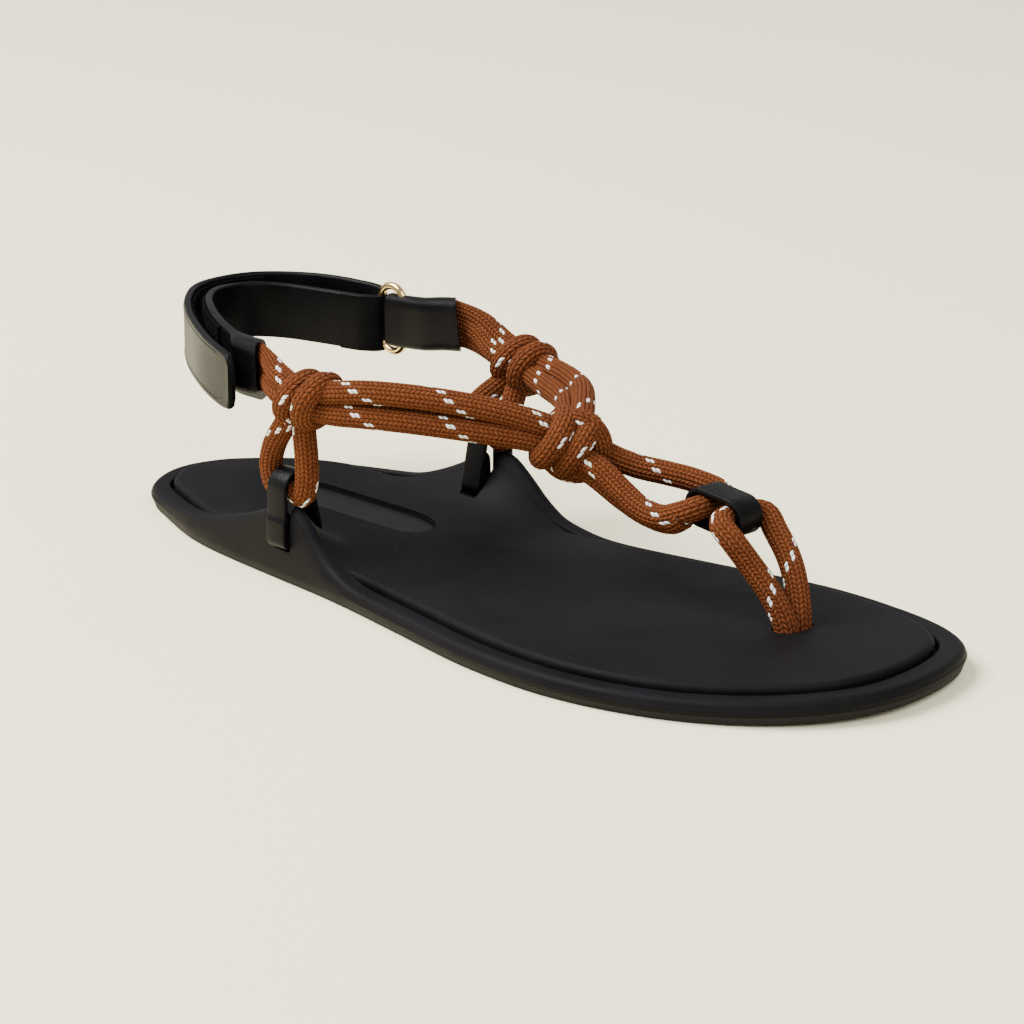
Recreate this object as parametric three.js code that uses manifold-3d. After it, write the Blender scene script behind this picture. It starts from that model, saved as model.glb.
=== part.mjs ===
// Rope sandal for the right foot: a thin flat sole with a grooved footbed, two low wings at the
// waist, a V of knotted rope held by leather tabs, and a leather heel strap on an oval ring.
// Millimetres, +Z up. +X runs from heel to toe and +Y to the inner (medial) side of the foot.
import * as THREE from 'three';
import { mergeVertices } from 'three/addons/utils/BufferGeometryUtils.js';
import Module from 'manifold-3d';

const wasm = await Module();
wasm.setup();

// Driving dimensions
const SOLE_LENGTH = 255;
const BALL_WIDTH = 97.5;
const INSTEP_HEIGHT = 50;
const CLEARANCE = 0.3;
const ROPE_PLAY = 0.6;

// Sole
const OUTSOLE_THICKNESS = 2;
const OUTSOLE_INSET = 1;
const EDGE_RADIUS = 1.2;
const TOE_SPRING = 1.6;
const TOE_SPRING_LENGTH = 42;
const RIM_HEIGHT = 5.6;
const RIM_WIDTH = 5.2;
const RIM_TOE_GROWTH = 1.6;
const RIM_SLOPE = 0.35;
const GROOVE_WIDTH = 0.6;
const FOOTBED_HEIGHT = 7.4;
const FOOTBED_THICKNESS = 3.6;
const FOOTBED_ROLL = 1.8;
const FOOTBED_CROWN = 0.5;
const WING_HEIGHT = 22.5;
const CREST_WIDTH = 3;
const SWEEP_WIDTH = 24;
const SWEEP_POWER = 2.7;
const EDGE_ZONE = 10;

// Badge panel, set bare into the heel of the footbed
const BADGE_LENGTH = 53;
const BADGE_WIDTH = 14.5;
const BADGE_RECESS = 1.3;
const BADGE_THICKNESS = 0.6;

// Rope
const ROPE_DIAMETER = 6;
const ROPE_SIDES = 8;
const POST_SQUEEZE = 0.6;

// Leather tabs, keeper and strap
const TAB_WIDTH = 6.6;
const TAB_THICKNESS = 1.3;
const SLOT_HEIGHT = 3.4;
const KEEPER_WIDTH = 8;
const STRAP_WIDTH = 15;
const STRAP_THICKNESS = 2;
const SLEEVE_HEIGHT = 14;
const RING_HEIGHT = 19.5;
const RING_LENGTH = 12.5;
const RING_WIRE = 2;

// Half widths of the sole, as shares of BALL_WIDTH, at shares of SOLE_LENGTH from the heel
const OUTLINE = [
  { along: 0.03, medial: 0.176, lateral: 0.183 },
  { along: 0.08, medial: 0.296, lateral: 0.255 },
  { along: 0.16, medial: 0.355, lateral: 0.334 },
  { along: 0.28, medial: 0.342, lateral: 0.383 },
  { along: 0.40, medial: 0.324, lateral: 0.417 },
  { along: 0.52, medial: 0.356, lateral: 0.472 },
  { along: 0.64, medial: 0.415, lateral: 0.527 },
  { along: 0.75, medial: 0.469, lateral: 0.531 },
  { along: 0.85, medial: 0.462, lateral: 0.463 },
  { along: 0.93, medial: 0.398, lateral: 0.339 },
  { along: 0.98, medial: 0.26, lateral: 0.188 },
];

// Rise of the edge above the rim, as shares of the wings' rise
const CREST = {
  lateral: [
    { along: 0.08, rise: 0 },
    { along: 0.125, rise: 0.03 },
    { along: 0.17, rise: 0.11 },
    { along: 0.21, rise: 0.25 },
    { along: 0.245, rise: 0.41 },
    { along: 0.28, rise: 0.59 },
    { along: 0.31, rise: 0.78 },
    { along: 0.335, rise: 0.9 },
    { along: 0.352, rise: 0.84 },
    { along: 0.366, rise: 0.67 },
    { along: 0.38, rise: 0.46 },
    { along: 0.4, rise: 0.23 },
    { along: 0.42, rise: 0.1 },
    { along: 0.445, rise: 0.02 },
    { along: 0.47, rise: 0 },
  ],
  medial: [
    { along: 0.13, rise: 0 },
    { along: 0.185, rise: 0.08 },
    { along: 0.225, rise: 0.18 },
    { along: 0.26, rise: 0.35 },
    { along: 0.29, rise: 0.54 },
    { along: 0.318, rise: 0.75 },
    { along: 0.343, rise: 0.96 },
    { along: 0.36, rise: 1.02 },
    { along: 0.38, rise: 0.97 },
    { along: 0.402, rise: 0.74 },
    { along: 0.425, rise: 0.44 },
    { along: 0.45, rise: 0.2 },
    { along: 0.475, rise: 0.08 },
    { along: 0.5, rise: 0.02 },
    { along: 0.53, rise: 0 },
  ],
};

const SIDES = { medial: 1, lateral: -1 };
const STATIONS = 35;

const clamp01 = (value) => Math.min(1, Math.max(0, value));
const mix = (a, b, share) => a + (b - a) * share;
const smooth = (low, high, value) => {
  const share = clamp01((value - low) / (high - low));
  return share * share * (3 - 2 * share);
};

// Smooth reading of one column of a table of sections
function readTable(table, column, along) {
  const last = table.length - 1;
  if (along <= table[0].along) return table[0][column];
  if (along >= table[last].along) return table[last][column];
  const i = table.findIndex((row, k) => k < last && along <= table[k + 1].along);
  const slope = (k) => {
    const a = table[Math.max(k - 1, 0)];
    const b = table[Math.min(k + 1, last)];
    return (b[column] - a[column]) / (b.along - a.along);
  };
  const span = table[i + 1].along - table[i].along;
  const s = (along - table[i].along) / span;
  const rise = table[i + 1][column] - table[i][column];
  const bendA = slope(i) * span - rise;
  const bendB = rise - slope(i + 1) * span;
  return mix(table[i][column], table[i + 1][column], s) + s * (1 - s) * (bendA * (1 - s) + bendB * s);
}

// The outline's fullness is its half width over a half circle's, so both ends come out round
const roundness = (along) => Math.sqrt(along * (1 - along));
const FULLNESS = OUTLINE.map((row) => ({
  along: row.along,
  medial: row.medial / roundness(row.along),
  lateral: row.lateral / roundness(row.along),
}));
const halfWidth = (side, along) =>
  BALL_WIDTH * readTable(FULLNESS, side, along) * roundness(clamp01(along));
const outlinePoint = (side, turn) => {
  const along = (1 - Math.cos(turn)) / 2;
  return new THREE.Vector2(along * SOLE_LENGTH, SIDES[side] * halfWidth(side, along));
};

// Turns from heel to toe at even steps along the edge
const TURNS = (() => {
  const samples = 720;
  const lengths = [0];
  for (let i = 1; i <= samples; i += 1) {
    const [before, after] = [i - 1, i].map((k) => outlinePoint('lateral', (k / samples) * Math.PI));
    lengths.push(lengths[i - 1] + before.distanceTo(after));
  }
  const turns = [];
  for (let k = 0; k <= STATIONS; k += 1) {
    const wanted = (k / STATIONS) * lengths[samples];
    const i = Math.min(samples, lengths.findIndex((length) => length >= wanted));
    turns.push((i / samples) * Math.PI);
  }
  return turns;
})();

// One place on the sole: the edge point moved inwards, and past the edge zone towards a spine
function inwards(side, turn, inset) {
  const step = 0.002;
  const before = outlinePoint(side, Math.max(0, turn - step));
  const after = outlinePoint(side, Math.min(Math.PI, turn + step));
  const tangent = after.sub(before).normalize();
  const normal = new THREE.Vector2(-tangent.y, tangent.x).multiplyScalar(-SIDES[side]);
  if (turn <= step || turn >= Math.PI - step) normal.set(turn <= step ? 1 : -1, 0);
  return outlinePoint(side, turn).addScaledVector(normal, inset);
}

const HEEL_SPINE = 0.12;
const TOE_SPINE = 0.85;
function solePoint(side, turn, inset, core) {
  const point = inwards(side, turn, inset);
  const along = mix(HEEL_SPINE, TOE_SPINE, (1 - Math.cos(turn)) / 2);
  const middle = (halfWidth('medial', along) - halfWidth('lateral', along)) / 2;
  return point.lerp(new THREE.Vector2(along * SOLE_LENGTH, middle), core);
}

// Heights of the sole
const toeLift = (x) =>
  TOE_SPRING * Math.max(0, (x - (SOLE_LENGTH - TOE_SPRING_LENGTH)) / TOE_SPRING_LENGTH) ** 2;
const crestHeight = (side, along) =>
  RIM_HEIGHT + (WING_HEIGHT - RIM_HEIGHT) * readTable(CREST[side], 'rise', along);
const sideOf = (y) => (y >= 0 ? 'medial' : 'lateral');
function edgeDistance(x, y) {
  const along = clamp01(x / SOLE_LENGTH);
  return halfWidth(sideOf(y), along) - Math.abs(y);
}
// Top of the footbed and of the wings, swept up from the waist to the crests
function sweptTop(x, y) {
  const along = clamp01(x / SOLE_LENGTH);
  const side = sideOf(y);
  const rise = Math.max(0, crestHeight(side, along) - FOOTBED_HEIGHT);
  const share = clamp01((edgeDistance(x, y) - CREST_WIDTH) / SWEEP_WIDTH);
  return FOOTBED_HEIGHT + rise * (1 - share) ** SWEEP_POWER + toeLift(x);
}
// The rim broadens at the toe. Insets past it are measured from its inner edge.
const rimWidth = (along) => RIM_WIDTH + RIM_TOE_GROWTH * smooth(0.8, 1, along);
const past = (extra) => (side, along) => rimWidth(along) + extra;
// Share of the groove that shows: whole at heel and forefoot, closed where the wings rise
const grooveShare = (side, along) =>
  1 - smooth(FOOTBED_HEIGHT - 1, FOOTBED_HEIGHT + 3, crestHeight(side, along));
const rimTop = (x, y) => {
  const along = clamp01(x / SOLE_LENGTH);
  const crest = crestHeight(sideOf(y), along);
  return crest > FOOTBED_HEIGHT ? sweptTop(x, y) : crest + toeLift(x);
};

// A closed skin over rings of equal count. Each four-sided face is split by its shorter diagonal,
// so two skins drawn over the same places stay parallel.
function skin(rings) {
  const count = rings[0].length;
  const positions = rings.flat().flatMap((p) => [p.x, p.y, p.z]);
  const index = [];
  for (let r = 0; r < rings.length - 1; r += 1) {
    for (let i = 0; i < count; i += 1) {
      const next = (i + 1) % count;
      const [a, b, c, d] = [r * count + i, r * count + next, (r + 1) * count + i, (r + 1) * count + next];
      const [first, second] = [rings[r][i], rings[r][next]];
      const crossed = first.distanceTo(rings[r + 1][next]) > second.distanceTo(rings[r + 1][i]);
      if (crossed) index.push(a, b, c, b, d, c); else index.push(a, b, d, a, d, c);
    }
  }
  const capStrip = (base, flip) => {
    const half = count / 2;
    for (let i = 0; i < half; i += 1) {
      const quad = [i, i + 1, count - i - 1, (count - i) % count].map((k) => base + k);
      const [a, b, c, d] = flip ? [quad[3], quad[2], quad[1], quad[0]] : quad;
      if (a !== b && a !== c && b !== c) index.push(a, c, b);
      if (a !== d && c !== d && a !== c) index.push(a, d, c);
    }
  };
  capStrip(0, false);
  capStrip((rings.length - 1) * count, true);
  const geometry = new THREE.BufferGeometry();
  geometry.setAttribute('position', new THREE.Float32BufferAttribute(positions, 3));
  geometry.setIndex(index);
  return geometry;
}

// A ring of the sole: heel to toe on the lateral side, then back on the medial side
function soleRing({ inset, core = 0, height }) {
  const ring = [];
  const add = (side, turn) => {
    const reach = typeof inset === 'function' ? inset(side, (1 - Math.cos(turn)) / 2) : inset;
    const flat = solePoint(side, turn, reach, core);
    ring.push(new THREE.Vector3(flat.x, flat.y, height(flat.x, flat.y, side)));
  };
  TURNS.forEach((turn) => add('lateral', turn));
  [...TURNS].reverse().slice(1, -1).forEach((turn) => add('medial', turn));
  return ring;
}

// Booleans
function toSolid(geometry) {
  const bare = geometry.clone();
  bare.deleteAttribute('normal');
  bare.deleteAttribute('uv');
  const merged = mergeVertices(bare, 1e-4);
  const index = merged.index.array;
  const kept = [];
  for (let i = 0; i < index.length; i += 3) {
    const [a, b, c] = [index[i], index[i + 1], index[i + 2]];
    if (a !== b && b !== c && a !== c) kept.push(a, b, c);
  }
  return new wasm.Manifold(new wasm.Mesh({
    numProp: 3,
    vertProperties: new Float32Array(merged.attributes.position.array),
    triVerts: new Uint32Array(kept),
  }));
}

function toGeometry(solid) {
  const mesh = solid.getMesh();
  const geometry = new THREE.BufferGeometry();
  geometry.setAttribute('position', new THREE.BufferAttribute(new Float32Array(mesh.vertProperties), 3));
  geometry.setIndex(new THREE.BufferAttribute(new Uint32Array(mesh.triVerts), 1));
  return geometry;
}

const join = (solids) => solids.reduce((whole, solid) => whole.add(solid));
const cut = (solid, tools) => tools.reduce((rest, tool) => rest.subtract(tool), solid);

// A point of the upper, as shares of the sole's length, the ball's width and the instep's height
const footPoint = (along, across, up) =>
  new THREE.Vector3(along * SOLE_LENGTH, across * BALL_WIDTH, up * INSTEP_HEIGHT);

// Convex band outline around a few circles, as a stretched belt lies on its pulleys
function beltOutline(circles, offset) {
  const points = [];
  circles.forEach(({ x, y, radius }) => {
    const steps = 14;
    for (let i = 0; i < steps; i += 1) {
      const angle = (i / steps) * 2 * Math.PI;
      const reach = radius + offset;
      points.push(new THREE.Vector2(x + reach * Math.cos(angle), y + reach * Math.sin(angle)));
    }
  });
  points.sort((a, b) => a.x - b.x || a.y - b.y);
  const turn = (a, b, c) => (b.x - a.x) * (c.y - a.y) - (b.y - a.y) * (c.x - a.x);
  const halfHull = (list) => list.reduce((hull, p) => {
    while (hull.length > 1 && turn(hull[hull.length - 2], hull[hull.length - 1], p) <= 1e-6) hull.pop();
    hull.push(p);
    return hull;
  }, []);
  const lower = halfHull(points);
  const upper = halfHull([...points].reverse());
  return [...lower.slice(0, -1), ...upper.slice(0, -1)];
}

// A closed band of leather: the belt's outline with its inside left open
function belt(circles, thickness, width) {
  const shape = new THREE.Shape(beltOutline(circles, thickness));
  shape.holes.push(new THREE.Path(beltOutline(circles, 0)));
  const geometry = new THREE.ExtrudeGeometry(shape, { depth: width, bevelEnabled: false, curveSegments: 1 });
  return geometry.translate(0, 0, -width / 2);
}

// Where each tab holds its wing: outwards is measured from the wall's face
const TAB_ALONG = { lateral: 0.329, medial: 0.349 };
const SLOT_OUTER = { out: 0, height: 11.4 };
const SLOT_INNER = { out: -9.3, height: 13.6 };
const SLOT_CORNER = 0.3;
const ROPE_SEAT = { lateral: 25.6, medial: 26.5 };
const tabs = Object.fromEntries(Object.entries(SIDES).map(([side, sign]) => {
  const x = TAB_ALONG[side] * SOLE_LENGTH;
  const wall = halfWidth(side, TAB_ALONG[side]);
  return [side, {
    sign,
    x,
    wall,
    rope: { out: -ROPE_DIAMETER / 2 - ROPE_PLAY + CLEARANCE, height: ROPE_SEAT[side] },
  }];
}));

const tabCircles = ({ rope }, ease = 0) => [
  { x: rope.out, y: rope.height, radius: ROPE_DIAMETER / 2 + ROPE_PLAY - ease },
  { x: SLOT_OUTER.out, y: SLOT_OUTER.height, radius: SLOT_CORNER - ease },
  { x: SLOT_INNER.out, y: SLOT_INNER.height, radius: SLOT_CORNER - ease },
];

// Turns a shape drawn as (outwards, height) into place on its wing, with its depth along the sole
function ontoWing(geometry, { sign, x, wall }) {
  const basis = new THREE.Matrix4().makeBasis(
    new THREE.Vector3(0, sign, 0),
    new THREE.Vector3(0, 0, 1),
    new THREE.Vector3(sign, 0, 0),
  );
  return geometry.applyMatrix4(basis).translate(x, sign * wall, 0);
}

// The cut through a wing that its tab passes
function slotTool(tab) {
  const run = new THREE.Vector2(SLOT_INNER.out - SLOT_OUTER.out, SLOT_INNER.height - SLOT_OUTER.height);
  const slope = Math.atan2(run.y, run.x);
  const tool = new THREE.BoxGeometry(run.length() + 3 * SLOT_HEIGHT, SLOT_HEIGHT, TAB_WIDTH + 2 * CLEARANCE);
  tool.rotateZ(slope);
  const drop = SLOT_CORNER + TAB_THICKNESS / 2;
  tool.translate(SLOT_OUTER.out + run.x / 2, SLOT_OUTER.height + run.y / 2 - drop, 0);
  const band = belt(tabCircles(tab, CLEARANCE), TAB_THICKNESS + 2 * CLEARANCE, TAB_WIDTH + 2 * CLEARANCE);
  return toSolid(ontoWing(tool, tab)).add(toSolid(ontoWing(band, tab)));
}

// Post hole for the two legs of the toe loop
const POST = footPoint(0.827, 0.1, 0);
const POST_HALF_GAP = ROPE_DIAMETER / 2 - POST_SQUEEZE;
function postTool(low, high) {
  const radius = ROPE_DIAMETER / 2 + CLEARANCE;
  const shape = new THREE.Shape(beltOutline(
    [-1, 1].map((end) => ({ x: 0, y: end * POST_HALF_GAP, radius })), 0,
  ));
  const tool = new THREE.ExtrudeGeometry(shape, { depth: high - low, bevelEnabled: false });
  return toSolid(tool.translate(POST.x, POST.y, low));
}

// Badge panel: a long leaf with cut ends, along the shoe's line in the heel
const BADGE_CENTRE = footPoint(0.27, 0.022, 0);
function badgeShape(inset) {
  const [l, w] = [BADGE_LENGTH / 2 - inset, BADGE_WIDTH / 2 - inset];
  const shape = new THREE.Shape();
  shape.moveTo(-l, w * 0.55);
  shape.quadraticCurveTo(-l, w, -l + w, w);
  shape.lineTo(l - 2.2 * w, w);
  shape.quadraticCurveTo(l, w * 0.9, l, -w * 0.3);
  shape.quadraticCurveTo(l, -w, l - w, -w);
  shape.lineTo(-l + 2.2 * w, -w);
  shape.quadraticCurveTo(-l, -w * 0.8, -l, w * 0.55);
  return shape;
}
function badgePrism(inset, low, high) {
  const options = { depth: high - low, bevelEnabled: false, curveSegments: 5 };
  const geometry = new THREE.ExtrudeGeometry(badgeShape(inset), options);
  return geometry.translate(BADGE_CENTRE.x, BADGE_CENTRE.y, low);
}

// Sole pieces
const underside = (x) => toeLift(x);
function outsole() {
  const foot = (x) => underside(x);
  const head = (x) => underside(x) + OUTSOLE_THICKNESS;
  return skin([
    { inset: OUTSOLE_INSET + EDGE_ZONE, height: foot },
    { inset: OUTSOLE_INSET + EDGE_RADIUS / 2, height: foot },
    { inset: OUTSOLE_INSET, height: (x) => foot(x) + EDGE_RADIUS / 2 },
    { inset: RIM_SLOPE, height: head },
    { inset: OUTSOLE_INSET + EDGE_ZONE, height: head },
  ].map(soleRing));
}

const pocketFloor = (x, y) => sweptTop(x, y) - FOOTBED_THICKNESS - CLEARANCE;
const midsoleFoot = (x) => underside(x) + OUTSOLE_THICKNESS + CLEARANCE;
const EDGE_CROWN = 0.25;
const FOOTBED_GAP = CLEARANCE + GROOVE_WIDTH;
function midsole() {
  const body = toSolid(skin([
    { inset: EDGE_ZONE, core: 0.5, height: midsoleFoot },
    { inset: RIM_SLOPE, height: midsoleFoot },
    { inset: 0, height: (x) => midsoleFoot(x) + EDGE_RADIUS },
    { inset: EDGE_CROWN, height: (x, y) => rimTop(x, y) - EDGE_RADIUS },
    { inset: EDGE_RADIUS, height: rimTop },
    { inset: CREST_WIDTH, height: rimTop },
    { inset: past(0), height: rimTop },
    { inset: past(CLEARANCE), height: pocketFloor },
    { inset: past(FOOTBED_GAP + CLEARANCE), height: pocketFloor },
    { inset: EDGE_ZONE, height: pocketFloor },
    { inset: EDGE_ZONE, core: 0.3, height: pocketFloor },
    { inset: EDGE_ZONE, core: 0.7, height: pocketFloor },
  ].map(soleRing)));
  const high = FOOTBED_HEIGHT;
  return toGeometry(cut(body, [
    slotTool(tabs.lateral),
    slotTool(tabs.medial),
    postTool(OUTSOLE_THICKNESS, high),
  ]));
}

function footbed() {
  const roll = (share) => past(FOOTBED_GAP + FOOTBED_ROLL * share);
  const foot = (x, y) => sweptTop(x, y) - FOOTBED_THICKNESS;
  const rolled = (share) => (x, y, side) =>
    sweptTop(x, y) - share * FOOTBED_ROLL * grooveShare(side, clamp01(x / SOLE_LENGTH));
  const crowned = (share) => (x, y) => sweptTop(x, y) + share * FOOTBED_CROWN;
  const body = toSolid(skin([
    { inset: EDGE_ZONE, core: 0.7, height: foot },
    { inset: EDGE_ZONE, core: 0.3, height: foot },
    { inset: EDGE_ZONE, height: foot },
    { inset: past(FOOTBED_GAP + CLEARANCE), height: foot },
    { inset: roll(0), height: rolled(1) },
    { inset: roll(0.3), height: rolled(0.3) },
    { inset: roll(1), height: rolled(0) },
    { inset: EDGE_ZONE, core: 0.1, height: crowned(0.3) },
    { inset: EDGE_ZONE, core: 0.3, height: crowned(0.7) },
    { inset: EDGE_ZONE, core: 0.7, height: crowned(1) },
  ].map(soleRing)));
  const high = WING_HEIGHT;
  return toGeometry(cut(body, [
    slotTool(tabs.lateral),
    slotTool(tabs.medial),
    postTool(OUTSOLE_THICKNESS, high),
    toSolid(badgePrism(0, FOOTBED_HEIGHT - BADGE_RECESS, high)),
  ]));
}

function badge() {
  const low = FOOTBED_HEIGHT - BADGE_RECESS + CLEARANCE;
  return badgePrism(CLEARANCE, low, low + BADGE_THICKNESS);
}

// Rope
const ropeRadius = ROPE_DIAMETER / 2;
function ropeSection(radius) {
  const shape = new THREE.Shape();
  for (let i = 0; i < ROPE_SIDES; i += 1) {
    const angle = ((i + 0.5) / ROPE_SIDES) * 2 * Math.PI;
    const [x, y] = [radius * Math.cos(angle), radius * Math.sin(angle)];
    if (i === 0) shape.moveTo(x, y); else shape.lineTo(x, y);
  }
  return shape;
}
function strand(points, steps, radius = ropeRadius, reshape = (geometry) => geometry) {
  const path = new THREE.CatmullRomCurve3(points, false, 'centripetal');
  const options = { steps, extrudePath: path, bevelEnabled: false };
  return toSolid(reshape(new THREE.ExtrudeGeometry(ropeSection(radius), options)));
}

// Centre lines of the two bundles, from the rear to the front knot. Spread is the distance from
// the bundle's middle to a strand's, in rope radii, and stack is the share of it that runs
// inwards: none in the leather sleeves, where the strands lie flat above one another.
const LATERAL_BUNDLE = [
  { along: 0.257, across: -0.318, up: 1.04, spread: 1.15, stack: 0 },
  { along: 0.293, across: -0.35, up: 1.035, spread: 1.0, stack: 0.4 },
  { along: 0.322, across: -0.366, up: 1.01, spread: 0.75, stack: 1 },
  { along: 0.353, across: -0.369, up: 0.975, spread: 0.6, stack: 1 },
  { along: 0.388, across: -0.359, up: 0.982, spread: 0.9, stack: 1 },
  { along: 0.424, across: -0.323, up: 0.997, spread: 1.08, stack: 1 },
  { along: 0.459, across: -0.267, up: 0.992, spread: 1.12, stack: 1 },
  { along: 0.494, across: -0.195, up: 0.968, spread: 1.1, stack: 1 },
  { along: 0.525, across: -0.128, up: 0.937, spread: 1.0, stack: 1 },
  { along: 0.553, across: -0.056, up: 0.888, spread: 0.8, stack: 1 },
  { along: 0.576, across: 0.01, up: 0.82, spread: 0.7, stack: 1 },
];
const MEDIAL_BUNDLE = [
  { along: 0.275, across: 0.349, up: 1.036, spread: 1.15, stack: 0 },
  { along: 0.302, across: 0.364, up: 1.0, spread: 1.0, stack: 0.4 },
  { along: 0.333, across: 0.371, up: 0.93, spread: 0.75, stack: 1 },
  { along: 0.369, across: 0.369, up: 0.88, spread: 0.6, stack: 1 },
  { along: 0.404, across: 0.349, up: 0.862, spread: 0.9, stack: 1 },
  { along: 0.439, across: 0.313, up: 0.858, spread: 1.1, stack: 1 },
  { along: 0.475, across: 0.262, up: 0.87, spread: 1.12, stack: 1 },
  { along: 0.51, across: 0.195, up: 0.888, spread: 1.1, stack: 1 },
  { along: 0.541, across: 0.118, up: 0.885, spread: 1.0, stack: 1 },
  { along: 0.565, across: 0.051, up: 0.865, spread: 0.8, stack: 1 },
  { along: 0.576, across: 0.01, up: 0.82, spread: 0.7, stack: 1 },
];
// Places of the three strands about the bundle's middle: outwards from the foot, and upwards
const STRANDS = [
  { out: 0.35, up: 0.94 },
  { out: 0.35, up: -0.94 },
  { out: -0.85, up: 0 },
];
const UP = new THREE.Vector3(0, 0, 1);
const FLAT_SHARE = 0.6;
const FLAT_LENGTH = 6;
const FLAT_END = 19;
const BUNDLE_STEPS = 14;

// Presses the start of a strand flat, as its leather sleeve does
function pressed(geometry, start, next, share) {
  const ahead = next.clone().sub(start).normalize();
  const across = new THREE.Vector3().crossVectors(ahead, UP).normalize();
  const place = geometry.attributes.position;
  const point = new THREE.Vector3();
  for (let i = 0; i < place.count; i += 1) {
    point.fromBufferAttribute(place, i).sub(start);
    const press = (1 - share) * (1 - smooth(FLAT_LENGTH, FLAT_END, point.dot(ahead)));
    point.addScaledVector(across, -press * point.dot(across)).add(start);
    place.setXYZ(i, point.x, point.y, point.z);
  }
  return geometry;
}

function bundle(route, sign, radius = ropeRadius) {
  const centres = route.map((row) => footPoint(row.along, row.across, row.up));
  const path = new THREE.CatmullRomCurve3(centres, false, 'centripetal');
  const share = (FLAT_SHARE * ropeRadius + radius - ropeRadius) / radius;
  const press = (geometry) => pressed(geometry, centres[0], centres[1], share);
  return STRANDS.map((place) => {
    const points = route.map((row, i) => {
      const along = path.getTangent(i / (route.length - 1));
      const outwards = new THREE.Vector3().crossVectors(along, UP).normalize().multiplyScalar(-sign);
      const upwards = new THREE.Vector3().crossVectors(outwards, along).multiplyScalar(sign).normalize();
      const reach = row.spread * ropeRadius;
      return centres[i].clone()
        .addScaledVector(outwards, place.out * row.stack * reach)
        .addScaledVector(upwards, place.up * reach);
    });
    const backwards = points[0].clone().sub(points[1]).normalize();
    points[0].addScaledVector(backwards, 2 * (radius - ropeRadius));
    return strand(points, BUNDLE_STEPS, radius, press);
  });
}

// A turn of rope round a bundle. The turn faces along the bundle and its top leans forwards.
const WRAP_STEPS = 11;
function wrap({ centre, facing, lean, radius }) {
  const side = new THREE.Vector3().crossVectors(facing, UP).normalize();
  const top = new THREE.Vector3().crossVectors(side, facing).normalize();
  const leaning = top.clone().multiplyScalar(Math.cos(lean)).addScaledVector(facing, Math.sin(lean));
  const points = [];
  for (let i = 0; i < WRAP_STEPS; i += 1) {
    const angle = (i / WRAP_STEPS) * 2 * Math.PI;
    points.push(centre.clone()
      .addScaledVector(side, radius * Math.cos(angle))
      .addScaledVector(leaning, (radius * Math.sin(angle)) / Math.cos(lean)));
  }
  const path = new THREE.CatmullRomCurve3(points, true, 'centripetal');
  return toSolid(new THREE.TubeGeometry(path, WRAP_STEPS, ropeRadius, ROPE_SIDES, true));
}

const REAR_KNOT = {
  lateral: footPoint(0.349, -0.369, 0.972),
  medial: footPoint(0.369, 0.369, 0.88),
};
const FRONT_KNOT = footPoint(0.576, 0.01, 0.82);
const KNOTS = [
  { at: REAR_KNOT.lateral, facing: [1, 0.02, -0.08], shift: -0.4, lean: 0.45, radius: 4.7 },
  { at: REAR_KNOT.lateral, facing: [1, 0.02, 0.02], shift: 6.2, lean: 0.45, radius: 4.9 },
  { at: REAR_KNOT.medial, facing: [1, -0.1, -0.25], shift: -3.6, lean: 0.3, radius: 4.7 },
  { at: REAR_KNOT.medial, facing: [1, -0.12, -0.05], shift: 3.2, lean: 0.3, radius: 4.7 },
  { at: FRONT_KNOT, facing: [0.62, 0.7, -0.35], shift: -5.5, lean: 0.2, radius: 5.6 },
  { at: FRONT_KNOT, facing: [0.7, 0.6, -0.35], shift: 0.8, lean: 0.2, radius: 5.9 },
  { at: FRONT_KNOT, facing: [0.55, -0.78, -0.3], shift: 0.5, lean: -0.2, radius: 6.6 },
];
const knotWraps = () => KNOTS.map(({ at, facing, shift, lean, radius }) => {
  const direction = new THREE.Vector3(...facing).normalize();
  return wrap({ centre: at.clone().addScaledVector(direction, shift), facing: direction, lean, radius });
});

// The loop under each rear knot, round the inside of its tab
const LOOP_HALF_SPAN = TAB_WIDTH / 2 + CLEARANCE + ropeRadius;
const LOOP_STEPS = 17;
const offsetBy = (point, x, y, z) => point.clone().add(new THREE.Vector3(x, y, z));
function wingLoop(side) {
  const tab = tabs[side];
  const knot = REAR_KNOT[side];
  const seat = new THREE.Vector3(tab.x, tab.sign * (tab.wall + tab.rope.out), tab.rope.height);
  const place = (reach, share) => new THREE.Vector3(
    mix(seat.x, knot.x, share ** 2) + reach * LOOP_HALF_SPAN,
    mix(seat.y, knot.y, share ** 2),
    mix(seat.z, knot.z, share),
  );
  return strand([
    place(-0.2, 0.96),
    place(-0.38, 0.72),
    place(-0.96, 0.4),
    place(-1.12, 0.19),
    place(-0.82, 0),
    place(0, 0),
    place(0.78, 0),
    place(1.04, 0.19),
    place(0.72, 0.42),
    place(0.36, 0.72),
    place(0.2, 0.96),
  ], LOOP_STEPS);
}

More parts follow.
